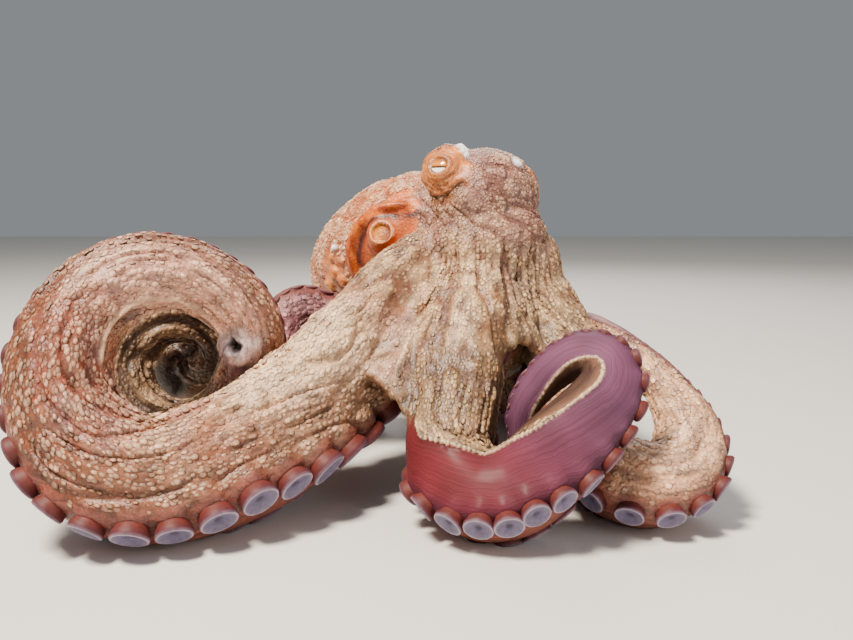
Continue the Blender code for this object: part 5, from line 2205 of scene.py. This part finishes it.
@dataclass(frozen=True)
class Eyeball:
    """One eyeball, under its lids."""

    node: str
    centre: Vector
    out: Vector

    def build(self, finish: bpy.types.Material) -> Piece:
        """Make the ball, with the direction of each point as seen from the front.

        Args:
            finish: the eye's material.

        Returns:
            The piece.
        """
        turn = turned_to(self.out)
        radius = BODY.eye_radius
        points, faces = Ellipsoid(self.centre, (radius,) * 3, turn).mesh(64, 40)
        made = mesh_object(self.node + "_ball", points, faces)
        out = np.array(self.out)
        level = unit(np.cross((0, 0, 1), out))
        direction = (points - np.array(self.centre)) / radius
        gaze = np.column_stack((direction @ level, direction @ np.cross(out, level), direction @ out))
        store(made, "gaze", "FLOAT_VECTOR", gaze)
        made.data.materials.append(finish)
        made.data.shade_smooth()
        return made


# ---- the studio

@dataclass(frozen=True)
class Studio:
    """A pale floor, soft lights and the camera."""

    camera_place: tuple = (0.0, -460.0, 152.0)    # mm in the design frame
    camera_dip: float = 8.3                       # degrees below level
    lens: float = 34.57                           # mm, for a sensor 36 mm wide
    aim: tuple = (0.0, -0.03, 0.09)               # metres; the point that the lights face
    half_floor: float = 3.0                       # metres
    sky: float = 0.33                             # strength of the pale light from all round

    def floor(self) -> None:
        """A plain pale floor under the animal."""
        half = self.half_floor
        mesh = bpy.data.meshes.new("floor")
        mesh.from_pydata([(-half, -half, 0), (half, -half, 0), (half, half, 0),
                          (-half, half, 0)], [], [(0, 1, 2, 3)])
        made = placed("floor", mesh)
        paint = bpy.data.materials.new("floor_paint")
        paint.use_nodes = True
        surface = paint.node_tree.nodes["Principled BSDF"]
        surface.inputs["Base Color"].default_value = (*linear_rgb("#d5d3cf"), 1)
        surface.inputs["Roughness"].default_value = 0.85
        mesh.materials.append(paint)

    def light(self, name: str, place: tuple, size: float, watts: float, code: str) -> None:
        """Set up a soft square light that faces the animal.

        Args:
            name: its name.
            place: where it stands, in metres.
            size: length of its side in metres.
            watts: its power.
            code: its hex colour.
        """
        lamp = bpy.data.lights.new(name, "AREA")
        lamp.size = size
        lamp.energy = watts
        lamp.color = linear_rgb(code)
        made = placed(name, lamp)
        made.location = place
        away = Vector(self.aim) - Vector(place)
        made.rotation_euler = away.to_track_quat("-Z", "Y").to_euler()

    def build(self) -> None:
        """Set up the floor, the lights, the sky and the camera."""
        self.floor()
        self.light("key", (-0.45, -0.55, 1.25), 0.30, 59, "#fff1de")
        self.light("fill", (0.95, -0.85, 0.45), 0.9, 6, "#ffeee6")
        self.light("back", (0.25, 0.95, 0.9), 0.7, 9, "#ffffff")
        world = bpy.context.scene.world or bpy.data.worlds.new("studio")
        bpy.context.scene.world = world
        world.use_nodes = True
        sky = world.node_tree.nodes["Background"]
        sky.inputs["Color"].default_value = (*linear_rgb("#dfe6ea"), 1)
        sky.inputs["Strength"].default_value = self.sky
        camera = bpy.data.cameras.new("camera")
        camera.sensor_width = 36
        camera.lens = self.lens
        camera.clip_start = 0.01
        made = placed("camera", camera)
        made.location = (np.array(self.camera_place) + SHIFT) * MM
        made.rotation_euler = (math.radians(90 - self.camera_dip), 0, 0)
        bpy.context.scene.camera = made


def main() -> None:
    """Build the animal and the studio, in order, and report each piece."""
    logging.basicConfig(level=logging.INFO, format="%(name)s: %(message)s")
    eyes = BODY.eyes()
    finish = SkinFinish().material()
    skin, bed = Skin().build()
    skin.data.materials.append(finish)
    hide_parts(*(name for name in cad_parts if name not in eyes))
    pieces = [(skin, Slot.SKIN)]
    pieces += [(piece, Slot.SKIN) for piece in Papillae(bed).build(finish)]
    pieces += [(piece, Slot.SKIN) for piece in Suckers().build(SuckerFinish().material())]
    eye_finish = EyeFinish().material()
    for node, (centre, out) in eyes.items():
        ball = Eyeball(node, centre, out).build(eye_finish)
        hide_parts(node)
        pieces.append((ball, Slot.EYE))
    total = 0
    for piece, slot in pieces:
        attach(piece, "root")
        piece.data.calc_loop_triangles()
        total += len(piece.data.loop_triangles)
        LOG.info("%s: %d triangles", piece.name, len(piece.data.loop_triangles))
    LOG.info("all pieces: %d triangles", total)
    Studio().build()


if __name__ == "__main__":
    main()
